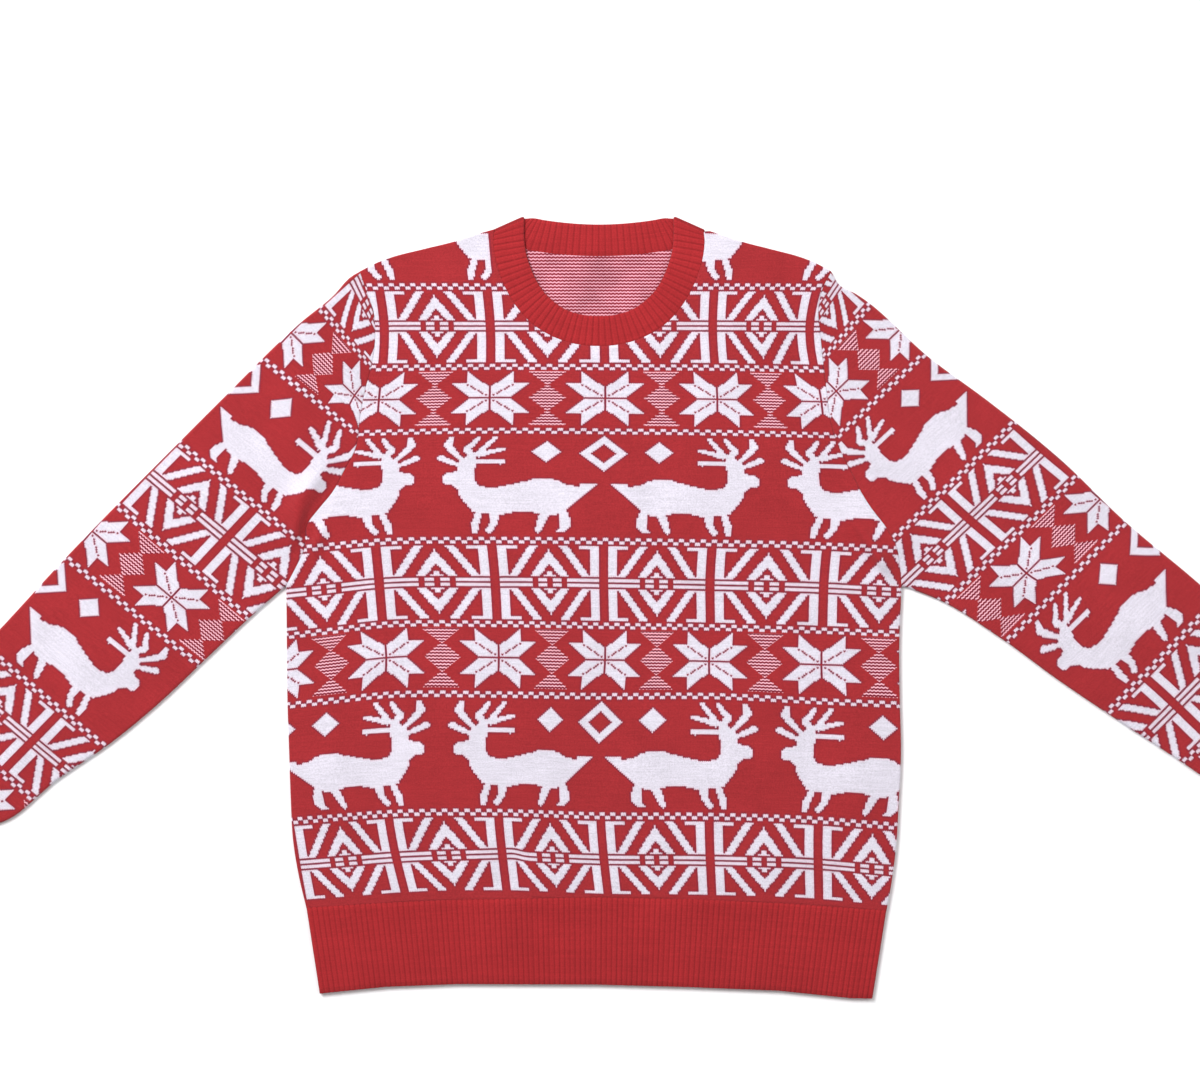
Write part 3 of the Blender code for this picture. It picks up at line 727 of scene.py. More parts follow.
def is_white_on_body(across, row):
    """The chart as the body panels use it, with plain rows at the hem and beside the neckband."""
    left, right = NECK_PLAIN_STITCHES
    beside_neck = (row > NECK_PLAIN_ROW) & (across > left) & (across < right)
    return is_white(across, row) & (row >= BODY_START) & ~beside_neck


def is_white_on_sleeve(across, row):
    """The chart as the sleeves use it, where the deer leave the lower fold plain."""
    chart_row = row % CHART_ROWS
    deer = (chart_row >= CHECKED_ROWS[0][1]) & (chart_row < DEER_ROWS)
    return is_white(across, row) & (~deer | (across < SLEEVE_PLAIN_STITCHES))


def is_twill(across, row):
    """True where both yarns show by turns in every row."""
    return is_hourglass(across, row % CHART_ROWS)


def is_everywhere(across, row):
    """The back of the knitting, where both yarns show all over."""
    return np.full(np.shape(across), True)


def is_nowhere(across, row):
    return np.full(np.shape(across), False)


Chart = namedtuple("Chart", "white twill")
BODY_CHART = Chart(is_white_on_body, is_twill)
SLEEVE_CHART = Chart(is_white_on_sleeve, is_twill)
INSIDE_CHART = Chart(is_everywhere, is_everywhere)
PLAIN_CHART = Chart(is_nowhere, is_nowhere)
PLAIN_SIDES = (PLAIN_CHART, PLAIN_CHART)


def cell_codes(cells, chart):
    """A number for each of four columns of stitches, the two in each cell and one on each side.

    Each number has a bit for each row. The first has one more where the cell is twill, and another
    where it is twill or beside it.
    """
    codes = np.zeros((len(cells), STITCHES_PER_CELL + 2))
    for column in range(STITCHES_PER_CELL + 2):
        for row in range(STITCHES_PER_CELL + 2 * ROWS_AROUND):
            white = chart.white(cells[:, 0] + column - 1, cells[:, 1] + row - ROWS_AROUND)
            codes[:, column] += white * 2.0**row
    for bit, beside in ((TWILL_BIT, 0), (TWILL_NEAR_BIT, 1)):
        steps = range(-beside, STITCHES_PER_CELL + beside)
        twill = [chart.twill(cells[:, 0] + across, cells[:, 1] + row) for across in steps for row in steps]
        codes[:, 0] += np.any(twill, axis=0) * bit
    return codes


# Cutting the knitting to a piece's shape

Side = namedtuple("Side", "line kind")
ROUND_SHARES = (0.15, 0.5, 1.0)  # where a rounded edge is divided, in shares of its width
SEAM_SHARES = (0.3, 1.0)
FOLD_TURNS = (20, 45, 68, 90)  # degrees round a fold, from its edge to its flat face
INSETS = {
    "edge": tuple(EDGE_ROUND * share for share in ROUND_SHARES),
    "seam": tuple(SEAM_ROUND * share for share in SEAM_SHARES),
    "end": tuple(SEAM_ROUND * share for share in SEAM_SHARES),
    "fold": tuple(MIDDLE_Z * (1 - cos(radians(turn))) for turn in FOLD_TURNS),
}
CUT_ERROR = 1e-5  # stitches, within which two points are one
Cut = namedtuple("Cut", "stitches points faces cells near")


def inset_line(line, inset):
    """A side moved inwards, its ends carried on so that it crosses the sides next to it."""
    moved = line + left_normals(line) * inset
    first, last = moved[0] - moved[1], moved[-1] - moved[-2]
    reach = 2 * MIDDLE_Z
    before = moved[0] + first / np.linalg.norm(first) * reach
    after = moved[-1] + last / np.linalg.norm(last) * reach
    return np.concatenate([[before], moved, [after]])


def is_inside(points, ring):
    """True for the points that lie inside a closed ring."""
    inside = np.full(len(points), False)
    x, y = points.T
    for (ax, ay), (bx, by) in zip(ring, np.roll(ring, -1, axis=0)):
        crosses = (ay > y) != (by > y)
        if ay != by:
            inside ^= crosses & (x < ax + (y - ay) * (bx - ax) / (by - ay))
    return inside


def stitch_grid(ring):
    """The first corner of the cells that cover a ring, all their corners, and the edges between."""
    low = np.floor((ring.min(0) + 0.5) / STITCHES_PER_CELL) - 1
    high = np.ceil((ring.max(0) + 0.5) / STITCHES_PER_CELL) + 1
    columns, rows = (high - low).astype(int) + 1
    start = low * STITCHES_PER_CELL - 0.5
    steps = [(i * STITCHES_PER_CELL, j * STITCHES_PER_CELL) for j in range(rows) for i in range(columns)]
    edges = [(j * columns + i, j * columns + i + 1) for j in range(rows) for i in range(columns - 1)]
    edges += [(j * columns + i, (j + 1) * columns + i) for j in range(rows - 1) for i in range(columns)]
    return start, [start + step for step in steps], edges


def cut_cloth(place, sides):
    """Divides a piece into cells of stitches, with lines along its sides where its edges round off.

    sides run counterclockwise. near gives each vertex's distance in plan to each kind of side.
    """
    lines = [(side.line[:-1], side.kind, 0.0) for side in sides]
    for side in sides:
        lines += [(inset_line(side.line, inset), side.kind, inset) for inset in INSETS[side.kind]]
    marks = stitches_at(place, np.concatenate([line for line, kind, inset in lines]))
    ring = marks[: sum(len(side.line) - 1 for side in sides)]
    start, grid, edges = stitch_grid(ring)
    owners = {}
    first = len(grid)
    for line, kind, inset in lines:
        count = len(line)
        for k in range(count if inset == 0.0 else count - 1):
            last_of_ring = inset == 0.0 and first + k + 1 == len(grid) + len(ring)
            owners[len(edges)] = (kind, inset)
            edges.append((first + k, len(grid) if last_of_ring else first + k + 1))
        first += count

    vectors = [Vector(spot) for spot in (*grid, *marks)]
    found, found_edges, faces, _, sources, _ = delaunay_2d_cdt(vectors, edges, [], 3, CUT_ERROR)
    stitches = np.array([tuple(spot) for spot in found])
    centres = np.array([stitches[face].mean(0) for face in faces])
    kept = is_inside(centres, ring)
    faces = [face for face, keep in zip(faces, kept) if keep]
    cells = np.floor((centres[kept] - start) / STITCHES_PER_CELL) * STITCHES_PER_CELL + start + 0.5
    points = place(stitches)
    near = {}
    for kind in {side.kind for side in sides}:
        near[kind] = np.min([distance_to(side.line, points) for side in sides if side.kind == kind], axis=0)
    for edge, source in zip(found_edges, sources):
        for owner in source:
            if owner in owners:
                kind, inset = owners[owner]
                near[kind][list(edge)] = inset
    return Cut(stitches, points, faces, cells.astype(int), near)


def grid_faces(shape, closed):
    """Faces between the points of a grid, and all the way round both ways where it is closed."""
    rows, columns = shape
    faces = []
    for i in range(rows if closed else rows - 1):
        for j in range(columns if closed else columns - 1):
            here, next_row = i * columns, (i + 1) % rows * columns
            next_column = (j + 1) % columns
            faces.append([here + j, here + next_column, next_row + next_column, next_row + j])
    return faces


def grid_cut(points, ribs, rows, near):
    """A piece that is already a grid of points in plan, such as ribbing, given as a cut one is."""
    shape = points.shape[:2]
    stitches = np.stack([np.broadcast_to(ribs, shape), np.broadcast_to(rows, shape)], axis=2)
    faces = grid_faces(shape, closed=False)
    flat_near = {kind: np.broadcast_to(distance, shape).ravel() for kind, distance in near.items()}
    cells = np.zeros((len(faces), 2), int)
    return Cut(stitches.reshape(-1, 2), points.reshape(-1, 2), faces, cells, flat_near)


# Meshes

Sheet = namedtuple("Sheet", "heights ids faces flip material chart")
TURN_SLACK = 1e-3  # the share by which a vertex may miss the line where a fold turns flat
TUBE_COLUMNS = (4, 4, 1, 1)  # how wide each sheet of a tube is in its flat map
MAP_INSET = 0.01  # the share of a sheet's map left free at each side


def quarter_round(distance, radius):
    """From 0 at an edge to 1 at radius from it, along a quarter of a circle."""
    inside = 1 - np.clip(distance / radius, 0.0, 1.0)
    return np.sqrt(np.maximum(1 - inside**2, 0.0))


def sheets_mesh(name, cut, sheets, materials, bake_columns):
    """One piece, made of sheets over the same cut that share some of their vertices."""
    count = len(cut.points)
    places = np.concatenate([np.column_stack([cut.points, sheet.heights]) for sheet in sheets])
    faces, slots, codes = [], [], []
    for sheet in sheets:
        chosen = np.flatnonzero(sheet.faces)
        for index in chosen:
            loop = [int(sheet.ids[corner]) for corner in cut.faces[index]]
            faces.append(loop[::-1] if sheet.flip else loop)
        slots += [sheet.material] * len(chosen)
        cells = cut.cells[chosen]
        codes.append(np.column_stack([cells - 0.5, cell_codes(cells, sheet.chart)]))
    used, renamed = np.unique(np.concatenate([np.array(face) for face in faces]), return_inverse=True)
    sizes = [len(face) for face in faces]
    corners = np.split(renamed, np.cumsum(sizes)[:-1])
    mesh = bpy.data.meshes.new(name)
    mesh.from_pydata((places[used] + place_shift()).tolist(), [], [corner.tolist() for corner in corners])
    for material in materials:
        mesh.materials.append(material)
    mesh.polygons.foreach_set("material_index", slots)
    stitches = np.column_stack([np.tile(cut.stitches, (len(sheets), 1)), np.zeros(count * len(sheets))])
    set_vectors(mesh, "stitch", "POINT", stitches[used])
    codes = np.concatenate(codes)
    set_vectors(mesh, "cell", "FACE", codes[:, :3])
    set_vectors(mesh, "columns", "FACE", codes[:, 3:])
    lay_bake_map(mesh, cut, sheets, used, bake_columns)
    fill_ends(mesh)
    mesh.shade_smooth()
    return link_object(name, mesh)


def link_object(name, data):
    made = bpy.data.objects.new(name, data)
    bpy.context.scene.collection.objects.link(made)
    return made


def place_shift():
    """From the garment's own plan to where the solids lie."""
    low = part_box("front_hem_rib")[0]
    return np.array([low[0] - BODY[0].left, low[1] - HEM[-1].bottom, 0.0])


def set_vectors(mesh, name, domain, values):
    attribute = mesh.attributes.new(name, "FLOAT_VECTOR", domain)
    attribute.data.foreach_set("vector", np.asarray(values, float).ravel())


def lay_bake_map(mesh, cut, sheets, used, columns):
    """A flat map for each sheet, side by side, as wide as columns says."""
    low, high = cut.stitches.min(0), cut.stitches.max(0)
    flat = (cut.stitches - low) / (high - low)
    starts = np.concatenate([[0.0], np.cumsum(columns)]) / sum(columns)
    loops = np.empty(len(mesh.loops), int)
    mesh.loops.foreach_get("vertex_index", loops)
    share = flat[used[loops] % len(flat)]
    sheet_of_face = np.repeat(np.arange(len(sheets)), [int(sheet.faces.sum()) for sheet in sheets])
    sizes = np.empty(len(mesh.polygons), int)
    mesh.polygons.foreach_get("loop_total", sizes)
    sheet_of_loop = np.repeat(sheet_of_face, sizes)
    left, right = starts[sheet_of_loop], starts[sheet_of_loop + 1]
    width = (right - left) * (1 - 2 * MAP_INSET)
    across = left + (right - left) * MAP_INSET + share[:, 0] * width
    up = MAP_INSET + share[:, 1] * (1 - 2 * MAP_INSET)
    layer = mesh.uv_layers.new(name="OFBake")
    layer.data.foreach_set("uv", np.column_stack([across, up]).ravel())


def fill_ends(mesh):
    """Closes the small openings that are left where a fold meets the end of a tube."""
    shape = bmesh.new()
    shape.from_mesh(mesh)
    open_edges = [edge for edge in shape.edges if edge.is_boundary]
    if open_edges:
        bmesh.ops.holes_fill(shape, edges=open_edges, sides=0)
        shape.to_mesh(mesh)
    shape.free()


def rounded(cut):
    """How full the cloth is at each vertex: 0 at an edge or a seam, and 1 away from them."""
    radii = {"edge": EDGE_ROUND, "seam": SEAM_ROUND, "end": SEAM_ROUND}
    return np.min([quarter_round(cut.near[kind], radii[kind]) for kind in cut.near if kind in radii], axis=0)


def panel(name, cut, base, top, bottom, materials, charts, bake_columns):
    """A single layer of cloth between two heights, with its edges rounded off all round."""
    full = rounded(cut)
    middle = (top + bottom) / 2
    ids = np.arange(len(cut.points))
    every = np.full(len(cut.faces), True)
    lower_ids = np.where(full == 0.0, ids, ids + len(ids))
    last = len(materials) - 1
    upper = Sheet(base + middle + (top - middle) * full, ids, every, False, 0, charts[0])
    lower = Sheet(base + middle + (bottom - middle) * full, lower_ids, every, True, last, charts[1])
    return sheets_mesh(name, cut, [upper, lower], materials, bake_columns)


def tube(name, cut, lift, relief, materials, chart, bake_columns):
    """A flattened tube: two layers that turn into each other at its folds, open at both ends."""
    from_fold = cut.near["fold"]
    at_fold, at_end = from_fold == 0.0, cut.near["end"] == 0.0
    arch = MIDDLE_Z * quarter_round(from_fold, MIDDLE_Z)
    hollow = np.where(from_fold > MIDDLE_Z * (1 + TURN_SLACK), GAP / 2, 0.0)
    half = (arch + hollow) / 2
    outer = half + (arch - half) * rounded(cut) + relief
    hollow = np.where(at_end, half, hollow)
    ids = np.arange(len(cut.points))
    lined = np.array([from_fold[face].mean() > MIDDLE_Z for face in cut.faces])
    every = np.full(len(cut.faces), True)
    below = np.where(at_fold, ids, ids + len(ids))
    lining = np.where(at_end, ids, ids + 2 * len(ids))
    on_turn = np.isclose(from_fold, MIDDLE_Z, rtol=TURN_SLACK) & ~at_end
    lining_below = np.where(at_end, below, np.where(on_turn, lining, ids + 3 * len(ids)))
    sheets = [
        Sheet(MIDDLE_Z + lift + outer, ids, every, False, 0, chart),
        Sheet(MIDDLE_Z - outer, below, every, True, 0, chart),
        Sheet(MIDDLE_Z + lift + hollow, lining, lined, True, 0, INSIDE_CHART),
        Sheet(MIDDLE_Z - hollow, lining_below, lined, False, 0, INSIDE_CHART),
    ]
    return sheets_mesh(name, cut, sheets, materials, bake_columns)


# Materials

YARN_ROUGHNESS = 0.9
YARN_SPECULAR = 0.08
YARN_SHEEN = 0.12
YARN_SHEEN_ROUGHNESS = 0.5
LEG_ROUND = 0.6  # below 1, the legs of a stitch are fuller than a plain wave
LOOP_ROUND = 0.5
LOOP_DEPTH = 0.6  # how much of its height a stitch loses between two rows
RIB_CREST = 0.45  # how much of the ribbing's height is the rib's own, which also sets the painted shade of its furrows
BUMP_STRENGTH = 0.8
FUZZ = 0.25  # how high loose fibres stand, in heights of a stitch
FUZZ_SCALE = 2600.0
NOISE_RANGE = (0.3, 0.7)
GROOVE_SHADE_TONES = (0.72, 1.04)  # painted shade in the grooves: the darkest and the lightest tone, from a groove to a loop
GROOVE_TOP = 0.8  # the height where the lightest one is reached
FIBRE_TONES = (0.86, 1.12)
FIBRE_SCALE = 900.0
ROW_TONES = (0.94, 1.05)
ROW_STREAK = (0.07, 0.90)  # how fast the tone changes along a row, and from row to row
PATCH_SCALE = 28.0  # soft patches of lighter and darker knitting
OUTSIDE_MOTTLE = 0.05  # how uneven those patches are
INSIDE_MOTTLE_AND_SHADE = 0.16  # and on the inside, where the two yarns mix, and where the patches also paint the shade of its wrinkles
TWILL_SWAY = 0.6  # how many rows the waves of the twill go up and down
TWILL_EDGE = 0.4  # how soft their edges are
WANDER = 0.18  # how far the stitches wander from their places, in stitches
WANDER_SCALE = 0.45
RIM = 0.24  # the share of a white stitch that dips under a red one beside it, darkened there with painted shade
SHADE_BETWEEN_WHITE = (0.52, 0.90, 1.50)  # painted shade: how the colour of a red stitch darkens between white ones, where it sinks behind them
WHITE_AROUND = 2.2  # how many white ones it takes
BESIDE_RED = (1.04, 0.86, 0.88)  # how that of a white stitch changes among red ones
RED_AROUND = 1.6
UNDER_RED_SHADE = (0.54, 0.15, 0.20)  # and how at its rim: painted shade, with some of the red yarn's colour
JUST_UNDER = 0.001  # keeps a place inside the last stitch of its cell


class Wires:
    """Short ways to add shader nodes to a material and join them up."""

    def __init__(self, material):
        self.tree = material.node_tree

    def node(self, kind, **settings):
        made = self.tree.nodes.new(kind)
        for name, value in settings.items():
            setattr(made, name, value)
        return made

    def feed(self, socket, value):
        if isinstance(value, bpy.types.NodeSocket):
            self.tree.links.new(value, socket)
        else:
            socket.default_value = value

    def math(self, operation, *values):
        made = self.node("ShaderNodeMath", operation=operation)
        for socket, value in zip(made.inputs, values):
            self.feed(socket, value)
        return made.outputs[0]

    def plus(self, first, second):
        return self.math("ADD", first, second)

    def minus(self, first, second):
        return self.math("SUBTRACT", first, second)

    def times(self, first, second):
        return self.math("MULTIPLY", first, second)

    def line(self, value, slope, start):
        return self.math("MULTIPLY_ADD", value, slope, start)

    def absolute(self, value):
        return self.math("ABSOLUTE", value)

    def rest(self, share):
        return self.minus(1.0, share)

    def wave(self, value, turn):
        return self.math("SINE", self.times(value, turn))

    def split(self, vector):
        made = self.node("ShaderNodeSeparateXYZ")
        self.feed(made.inputs[0], vector)
        return made.outputs

    def join(self, *parts):
        made = self.node("ShaderNodeCombineXYZ")
        for socket, part in zip(made.inputs, parts):
            self.feed(socket, part)
        return made.outputs[0]

    def clamp(self, value, high):
        return self.math("MINIMUM", self.math("MAXIMUM", value, 0.0), high)

    def blend(self, share, first, second):
        return self.line(share, self.minus(second, first), first)

    def attribute(self, name):
        return self.node("ShaderNodeAttribute", attribute_name=name).outputs["Vector"]

    def noise(self, vector, scale, detail=2.0):
        made = self.node("ShaderNodeTexNoise")
        self.feed(made.inputs["Vector"], vector)
        made.inputs["Scale"].default_value = scale
        made.inputs["Detail"].default_value = detail
        return made.outputs["Fac"]

    def mix(self, share, first, second):
        made = self.node("ShaderNodeMix", data_type="RGBA")
        self.feed(made.inputs["Factor"], share)
        for name, colour in (("A", first), ("B", second)):
            is_socket = isinstance(colour, bpy.types.NodeSocket)
            self.feed(made.inputs[name], colour if is_socket else (*colour, 1.0))
        return made.outputs["Result"]

    def ramp(self, value, low, high, to_low, to_high):
        made = self.node("ShaderNodeMapRange")
        for socket, setting in zip(made.inputs, (value, low, high, to_low, to_high)):
            self.feed(socket, setting)
        return made.outputs[0]


def new_yarn(name):
    material = bpy.data.materials.new(name)
    material.use_nodes = True
    shader = material.node_tree.nodes["Principled BSDF"]
    shader.inputs["Roughness"].default_value = YARN_ROUGHNESS
    shader.inputs["Specular IOR Level"].default_value = YARN_SPECULAR
    shader.inputs["Sheen Weight"].default_value = YARN_SHEEN
    shader.inputs["Sheen Roughness"].default_value = YARN_SHEEN_ROUGHNESS
    return material, shader


def stitch_height(wires, across, row):
    """How high the yarn stands over the grooves between the legs of the stitches."""
    legs = wires.math("POWER", wires.absolute(wires.wave(across, 2 * pi)), LEG_ROUND)
    loops = wires.math("POWER", wires.absolute(wires.wave(row, pi)), LOOP_ROUND)
    return wires.times(legs, wires.line(loops, LOOP_DEPTH, 1 - LOOP_DEPTH))


def leaning_row(wires, across_share, row):
    """The row's own height at this place, as each stitch rises from its middle to its sides."""
    from_middle = wires.absolute(wires.line(across_share, 2.0, -1.0))
    return wires.minus(row, wires.line(from_middle, LEAN, -LEAN / 2))


def finish_yarn(wires, shader, colour, height, relief, mottle=OUTSIDE_MOTTLE):
    """Gives the yarn its grooves, darkened with painted shade, its uneven tone and its raised loops."""
    coordinates = wires.node("ShaderNodeTexCoord").outputs["Object"]
    # painted shade: the colour darkens where the yarn stands low, in the grooves
    groove_shade = wires.ramp(height, 0.0, GROOVE_TOP, *GROOVE_SHADE_TONES)
    fibre = wires.ramp(wires.noise(coordinates, FIBRE_SCALE), *NOISE_RANGE, *FIBRE_TONES)
    patches = wires.noise(coordinates, PATCH_SCALE, 3.0)
    patch = wires.ramp(patches, *NOISE_RANGE, 1.0 - mottle, 1.0 + mottle)
    across, row, _ = wires.split(wires.attribute("stitch"))
    along_row = wires.join(wires.times(across, ROW_STREAK[0]), wires.times(row, ROW_STREAK[1]), 0.0)
    streak = wires.ramp(wires.noise(along_row, 1.0, 1.0), *NOISE_RANGE, *ROW_TONES)
    toned = wires.node("ShaderNodeVectorMath", operation="SCALE")
    wires.feed(toned.inputs[0], colour)
    wires.feed(toned.inputs["Scale"], wires.times(wires.times(groove_shade, fibre), wires.times(patch, streak)))
    wires.feed(shader.inputs["Base Color"], toned.outputs[0])
    bump = wires.node("ShaderNodeBump")
    bump.inputs["Strength"].default_value = BUMP_STRENGTH
    bump.inputs["Distance"].default_value = relief
    wires.feed(bump.inputs["Height"], wires.line(wires.noise(coordinates, FUZZ_SCALE), FUZZ, height))
    wires.feed(shader.inputs["Normal"], bump.outputs[0])


def picked_bit(wires, code, power):
    """1 where the code holds this power of two, else 0."""
    whole = wires.math("FLOOR", wires.math("DIVIDE", wires.plus(code, 0.5), power))
    return wires.math("FLOORED_MODULO", whole, 2.0)


def twill_share(wires, across, row):
    """The share of white where both yarns show by turns, in waves two stitches long."""
    sway = wires.absolute(wires.line(wires.math("FRACT", wires.times(across, 0.5)), 2.0, -1.0))
    return wires.ramp(wires.wave(wires.line(sway, TWILL_SWAY, row), pi), 0.0, TWILL_EDGE, 0.0, 1.0)


def shaded_rim_beside(wires, neighbour, distance):
    """Painted shade at the side of a white stitch that a red one covers: 1 there, and 0 from RIM into the
    stitch.
    """
    return wires.times(wires.ramp(distance, 0.0, RIM, 1.0, 0.0), wires.rest(neighbour))


def tinted(colour, shares):
    return tuple(part * share for part, share in zip(colour, shares))


def patterned_yarn(name, red, white, twill_red, twill_white, relief, mottle=OUTSIDE_MOTTLE):
    """Two yarns, chosen stitch by stitch from the codes that each cell of the mesh carries."""
    material, shader = new_yarn(name)
    wires = Wires(material)
    across, row, _ = wires.split(wires.attribute("stitch"))
    cell_across, cell_row, before = wires.split(wires.attribute("cell"))
    first, second, after = wires.split(wires.attribute("columns"))
    wander = wires.line(wires.noise(wires.attribute("stitch"), WANDER_SCALE), 2 * WANDER, -WANDER)
    across_in = wires.plus(wires.minus(across, cell_across), wander)
    across_in = wires.clamp(across_in, STITCHES_PER_CELL - JUST_UNDER)
    share = wires.math("FRACT", across_in)
    column = wires.math("FLOOR", across_in)
    row_in = wires.plus(wires.minus(row, cell_row), wander)
    lean = wires.plus(leaning_row(wires, share, row_in), ROWS_AROUND - 1.0)
    lean = wires.clamp(lean, STITCHES_PER_CELL + ROWS_AROUND - JUST_UNDER)
    up_share = wires.math("FRACT", lean)
    power = wires.math("POWER", 2.0, wires.plus(wires.math("FLOOR", lean), 1.0))
    own = wires.blend(column, first, second)
    neighbours = (
        (picked_bit(wires, wires.blend(column, before, first), power), share),
        (picked_bit(wires, own, wires.times(power, 0.5)), up_share),
        (picked_bit(wires, wires.blend(column, second, after), power), wires.rest(share)),
        (picked_bit(wires, own, wires.times(power, 2.0)), wires.rest(up_share)),
    )
    around, rim_shade = 0.0, 0.0
    for neighbour, distance in neighbours:
        around = wires.plus(around, neighbour)
        rim_shade = wires.math("MAXIMUM", rim_shade, shaded_rim_beside(wires, neighbour, distance))

    outside_twill = wires.rest(picked_bit(wires, before, TWILL_NEAR_BIT))
    # painted shade on red stitches sunk between white ones, left out in the twill
    recess_shade = wires.times(wires.ramp(around, 0.0, WHITE_AROUND, 0.0, 1.0), outside_twill)
    pink = wires.ramp(around, 4.0, 4.0 - RED_AROUND, 0.0, 1.0)
    red_here = wires.mix(recess_shade, red, tinted(red, SHADE_BETWEEN_WHITE))
    white_here = wires.mix(pink, white, tinted(white, BESIDE_RED))
    # painted shade, with some red in it, at the rims of white stitches under red ones
    white_here = wires.mix(rim_shade, white_here, tinted(white, UNDER_RED_SHADE))
    waves = wires.mix(twill_share(wires, across, row), twill_red, twill_white)
    white_here = wires.mix(picked_bit(wires, before, TWILL_BIT), white_here, waves)
    colour = wires.mix(picked_bit(wires, own, power), red_here, white_here)
    finish_yarn(wires, shader, colour, stitch_height(wires, share, lean), relief, mottle)
    return material


def rib_yarn(name, red, relief):
    """One yarn in ribs: a column of stitches on each rib and a furrow beside it, darkened with painted shade.
    """
    material, shader = new_yarn(name)
    wires = Wires(material)
    across, row, _ = wires.split(wires.attribute("stitch"))
    share = wires.math("FRACT", across)
    height = stitch_height(wires, share, leaning_row(wires, share, row))
    crest = wires.absolute(wires.wave(across, pi))
    height = wires.line(crest, RIB_CREST, wires.times(height, 1 - RIB_CREST))
    finish_yarn(wires, shader, red, height, relief)
    return material


def shared_material(name, make, *settings):
    return bpy.data.materials.get(name) or make(name, *settings)


def pattern_material(knitting):
    yarns = (knitting.red_yarn, knitting.white_yarn, knitting.twill_red, knitting.twill_white)
    return shared_material("patterned_knitting", patterned_yarn, *yarns, knitting.stitch_relief)


def inside_material(knitting):
    yarns = (knitting.red_yarn, knitting.white_yarn, knitting.red_inside, knitting.white_inside)
    # its patches are partly the yarns' uneven mix and partly painted shade of wrinkles
    return shared_material("knitting_inside", patterned_yarn, *yarns, knitting.stitch_relief, INSIDE_MOTTLE_AND_SHADE)


def rib_material(knitting):
    return shared_material("red_ribbing", rib_yarn, knitting.rib_yarn, knitting.stitch_relief)


# Pieces

RIB_UNEVEN = 0.15  # half the share of its height that a rib may lose
RIB_WANDER = 0.08  # how far it wanders sideways, in ribs
RIB_ROUND = 0.9  # below 1, a rib is fuller than a plain wave


def finish_piece(piece, node):
    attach(piece, "root")
    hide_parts(node)


def rib_profile(ribs):
    """From 0 in a furrow to about 1 on a rib, at a place counted in ribs. No two are quite alike."""
    height = 1 - RIB_UNEVEN + RIB_UNEVEN * np.sin(2.3 * ribs + 1.0)
    return height * np.abs(np.sin((ribs + RIB_WANDER * np.sin(1.7 * ribs)) * pi)) ** RIB_ROUND


SEAMS = ("hem", "neck", "left armhole", "right armhole")


def cut_panel(neck):
    sides = [Side(line, "seam" if name in SEAMS else "edge") for name, line in body_lines(neck).items()]
    return cut_cloth(body_place, sides)


def knit_front_panel(knitting):
    cut = cut_panel(front_neck())
    base = FRONT_Z + front_lift(cut.points)
    materials = [pattern_material(knitting), inside_material(knitting)]
    piece = panel("front_panel_knitting", cut, base, WALL, 0.0, materials, (BODY_CHART, INSIDE_CHART), (6, 1))
    finish_piece(piece, "front_panel")


def knit_back_panel(knitting):
    cut = cut_panel(back_neck())
    base = np.zeros(len(cut.points))
    materials = [inside_material(knitting), pattern_material(knitting)]
    piece = panel("back_panel_knitting", cut, base, WALL, 0.0, materials, (INSIDE_CHART, BODY_CHART), (3, 4))
    finish_piece(piece, "back_panel")


def knit_sleeve(knitting, side):
    """One sleeve, a tube that is folded flat along its upper and its lower side."""
    sleeve = SLEEVES[side]
    armhole = body_lines(front_neck())[f"{side} armhole"][:: sleeve.armhole_step]
    upper, lower = smooth_edge(sleeve.upper), smooth_edge(sleeve.lower)
    upper[0], lower[0] = armhole[0], armhole[-1]
    share = np.linspace(0.0, 1.0, CUFF_POINTS)[:, None]
    cuff_seam = lower[-1] + share * (upper[-1] - lower[-1])
    loop = [(armhole[::-1], "end"), (upper, "fold"), (cuff_seam[::-1], "end"), (lower[::-1], "fold")]
    if side == "right":
        loop = [(line[::-1], kind) for line, kind in loop[::-1]]
    cut = cut_cloth(sleeve_place(sleeve.lay), [Side(*entry) for entry in loop])
    lift = front_lift(cut.points)
    materials = [pattern_material(knitting)]
    piece = tube(f"sleeve_{side}_knitting", cut, lift, 0.0, materials, SLEEVE_CHART, TUBE_COLUMNS)
    finish_piece(piece, f"sleeve_{side}")


def with_ends(share, length, insets):
    """Shares of a length, with a few more where its two ends round off."""
    extra = np.array(insets) * SEAM_ROUND / length
    return np.unique(np.concatenate([share, extra, 1 - extra]))


def across_ribs(count, length):
    return with_ends(np.linspace(0.0, 1.0, count * POINTS_PER_RIB + 1), length, ROUND_SHARES[:2])


def along_ribs(length, step):
    return with_ends(np.linspace(0.0, 1.0, int(round(length / step)) + 1), length, ROUND_SHARES)


def hem_cut():
    """The hem's ribbing in plan, from its bottom edge up to its seam."""
    share = across_ribs(HEM_RIBS, BODY[0].right - BODY[0].left)
    depth = HEM[HEM_MIDDLE].seam - HEM[HEM_MIDDLE].bottom
    up = along_ribs(depth, HEM_STEP)
    left, right = side_rows("left", 0.0)[0], side_rows("right", 1.0)[0]
    width = right[0] - left[0]
    bottom_x = HEM_BOTTOM_LEFT + share * (HEM_BOTTOM_RIGHT - HEM_BOTTOM_LEFT)
    bottom = np.stack([bottom_x, hem_height(share, "bottom")], axis=1)
    seam = np.stack([left[0] + share * width, hem_height(share, "seam") + LAP], axis=1)
    points = bottom + up[:, None, None] * (seam - bottom)
    near = {"edge": np.minimum(share, 1 - share) * width, "seam": np.minimum(up, 1 - up)[:, None] * depth}
    return grid_cut(points, share * HEM_RIBS, up[:, None] * depth / RIB_ROW, near)


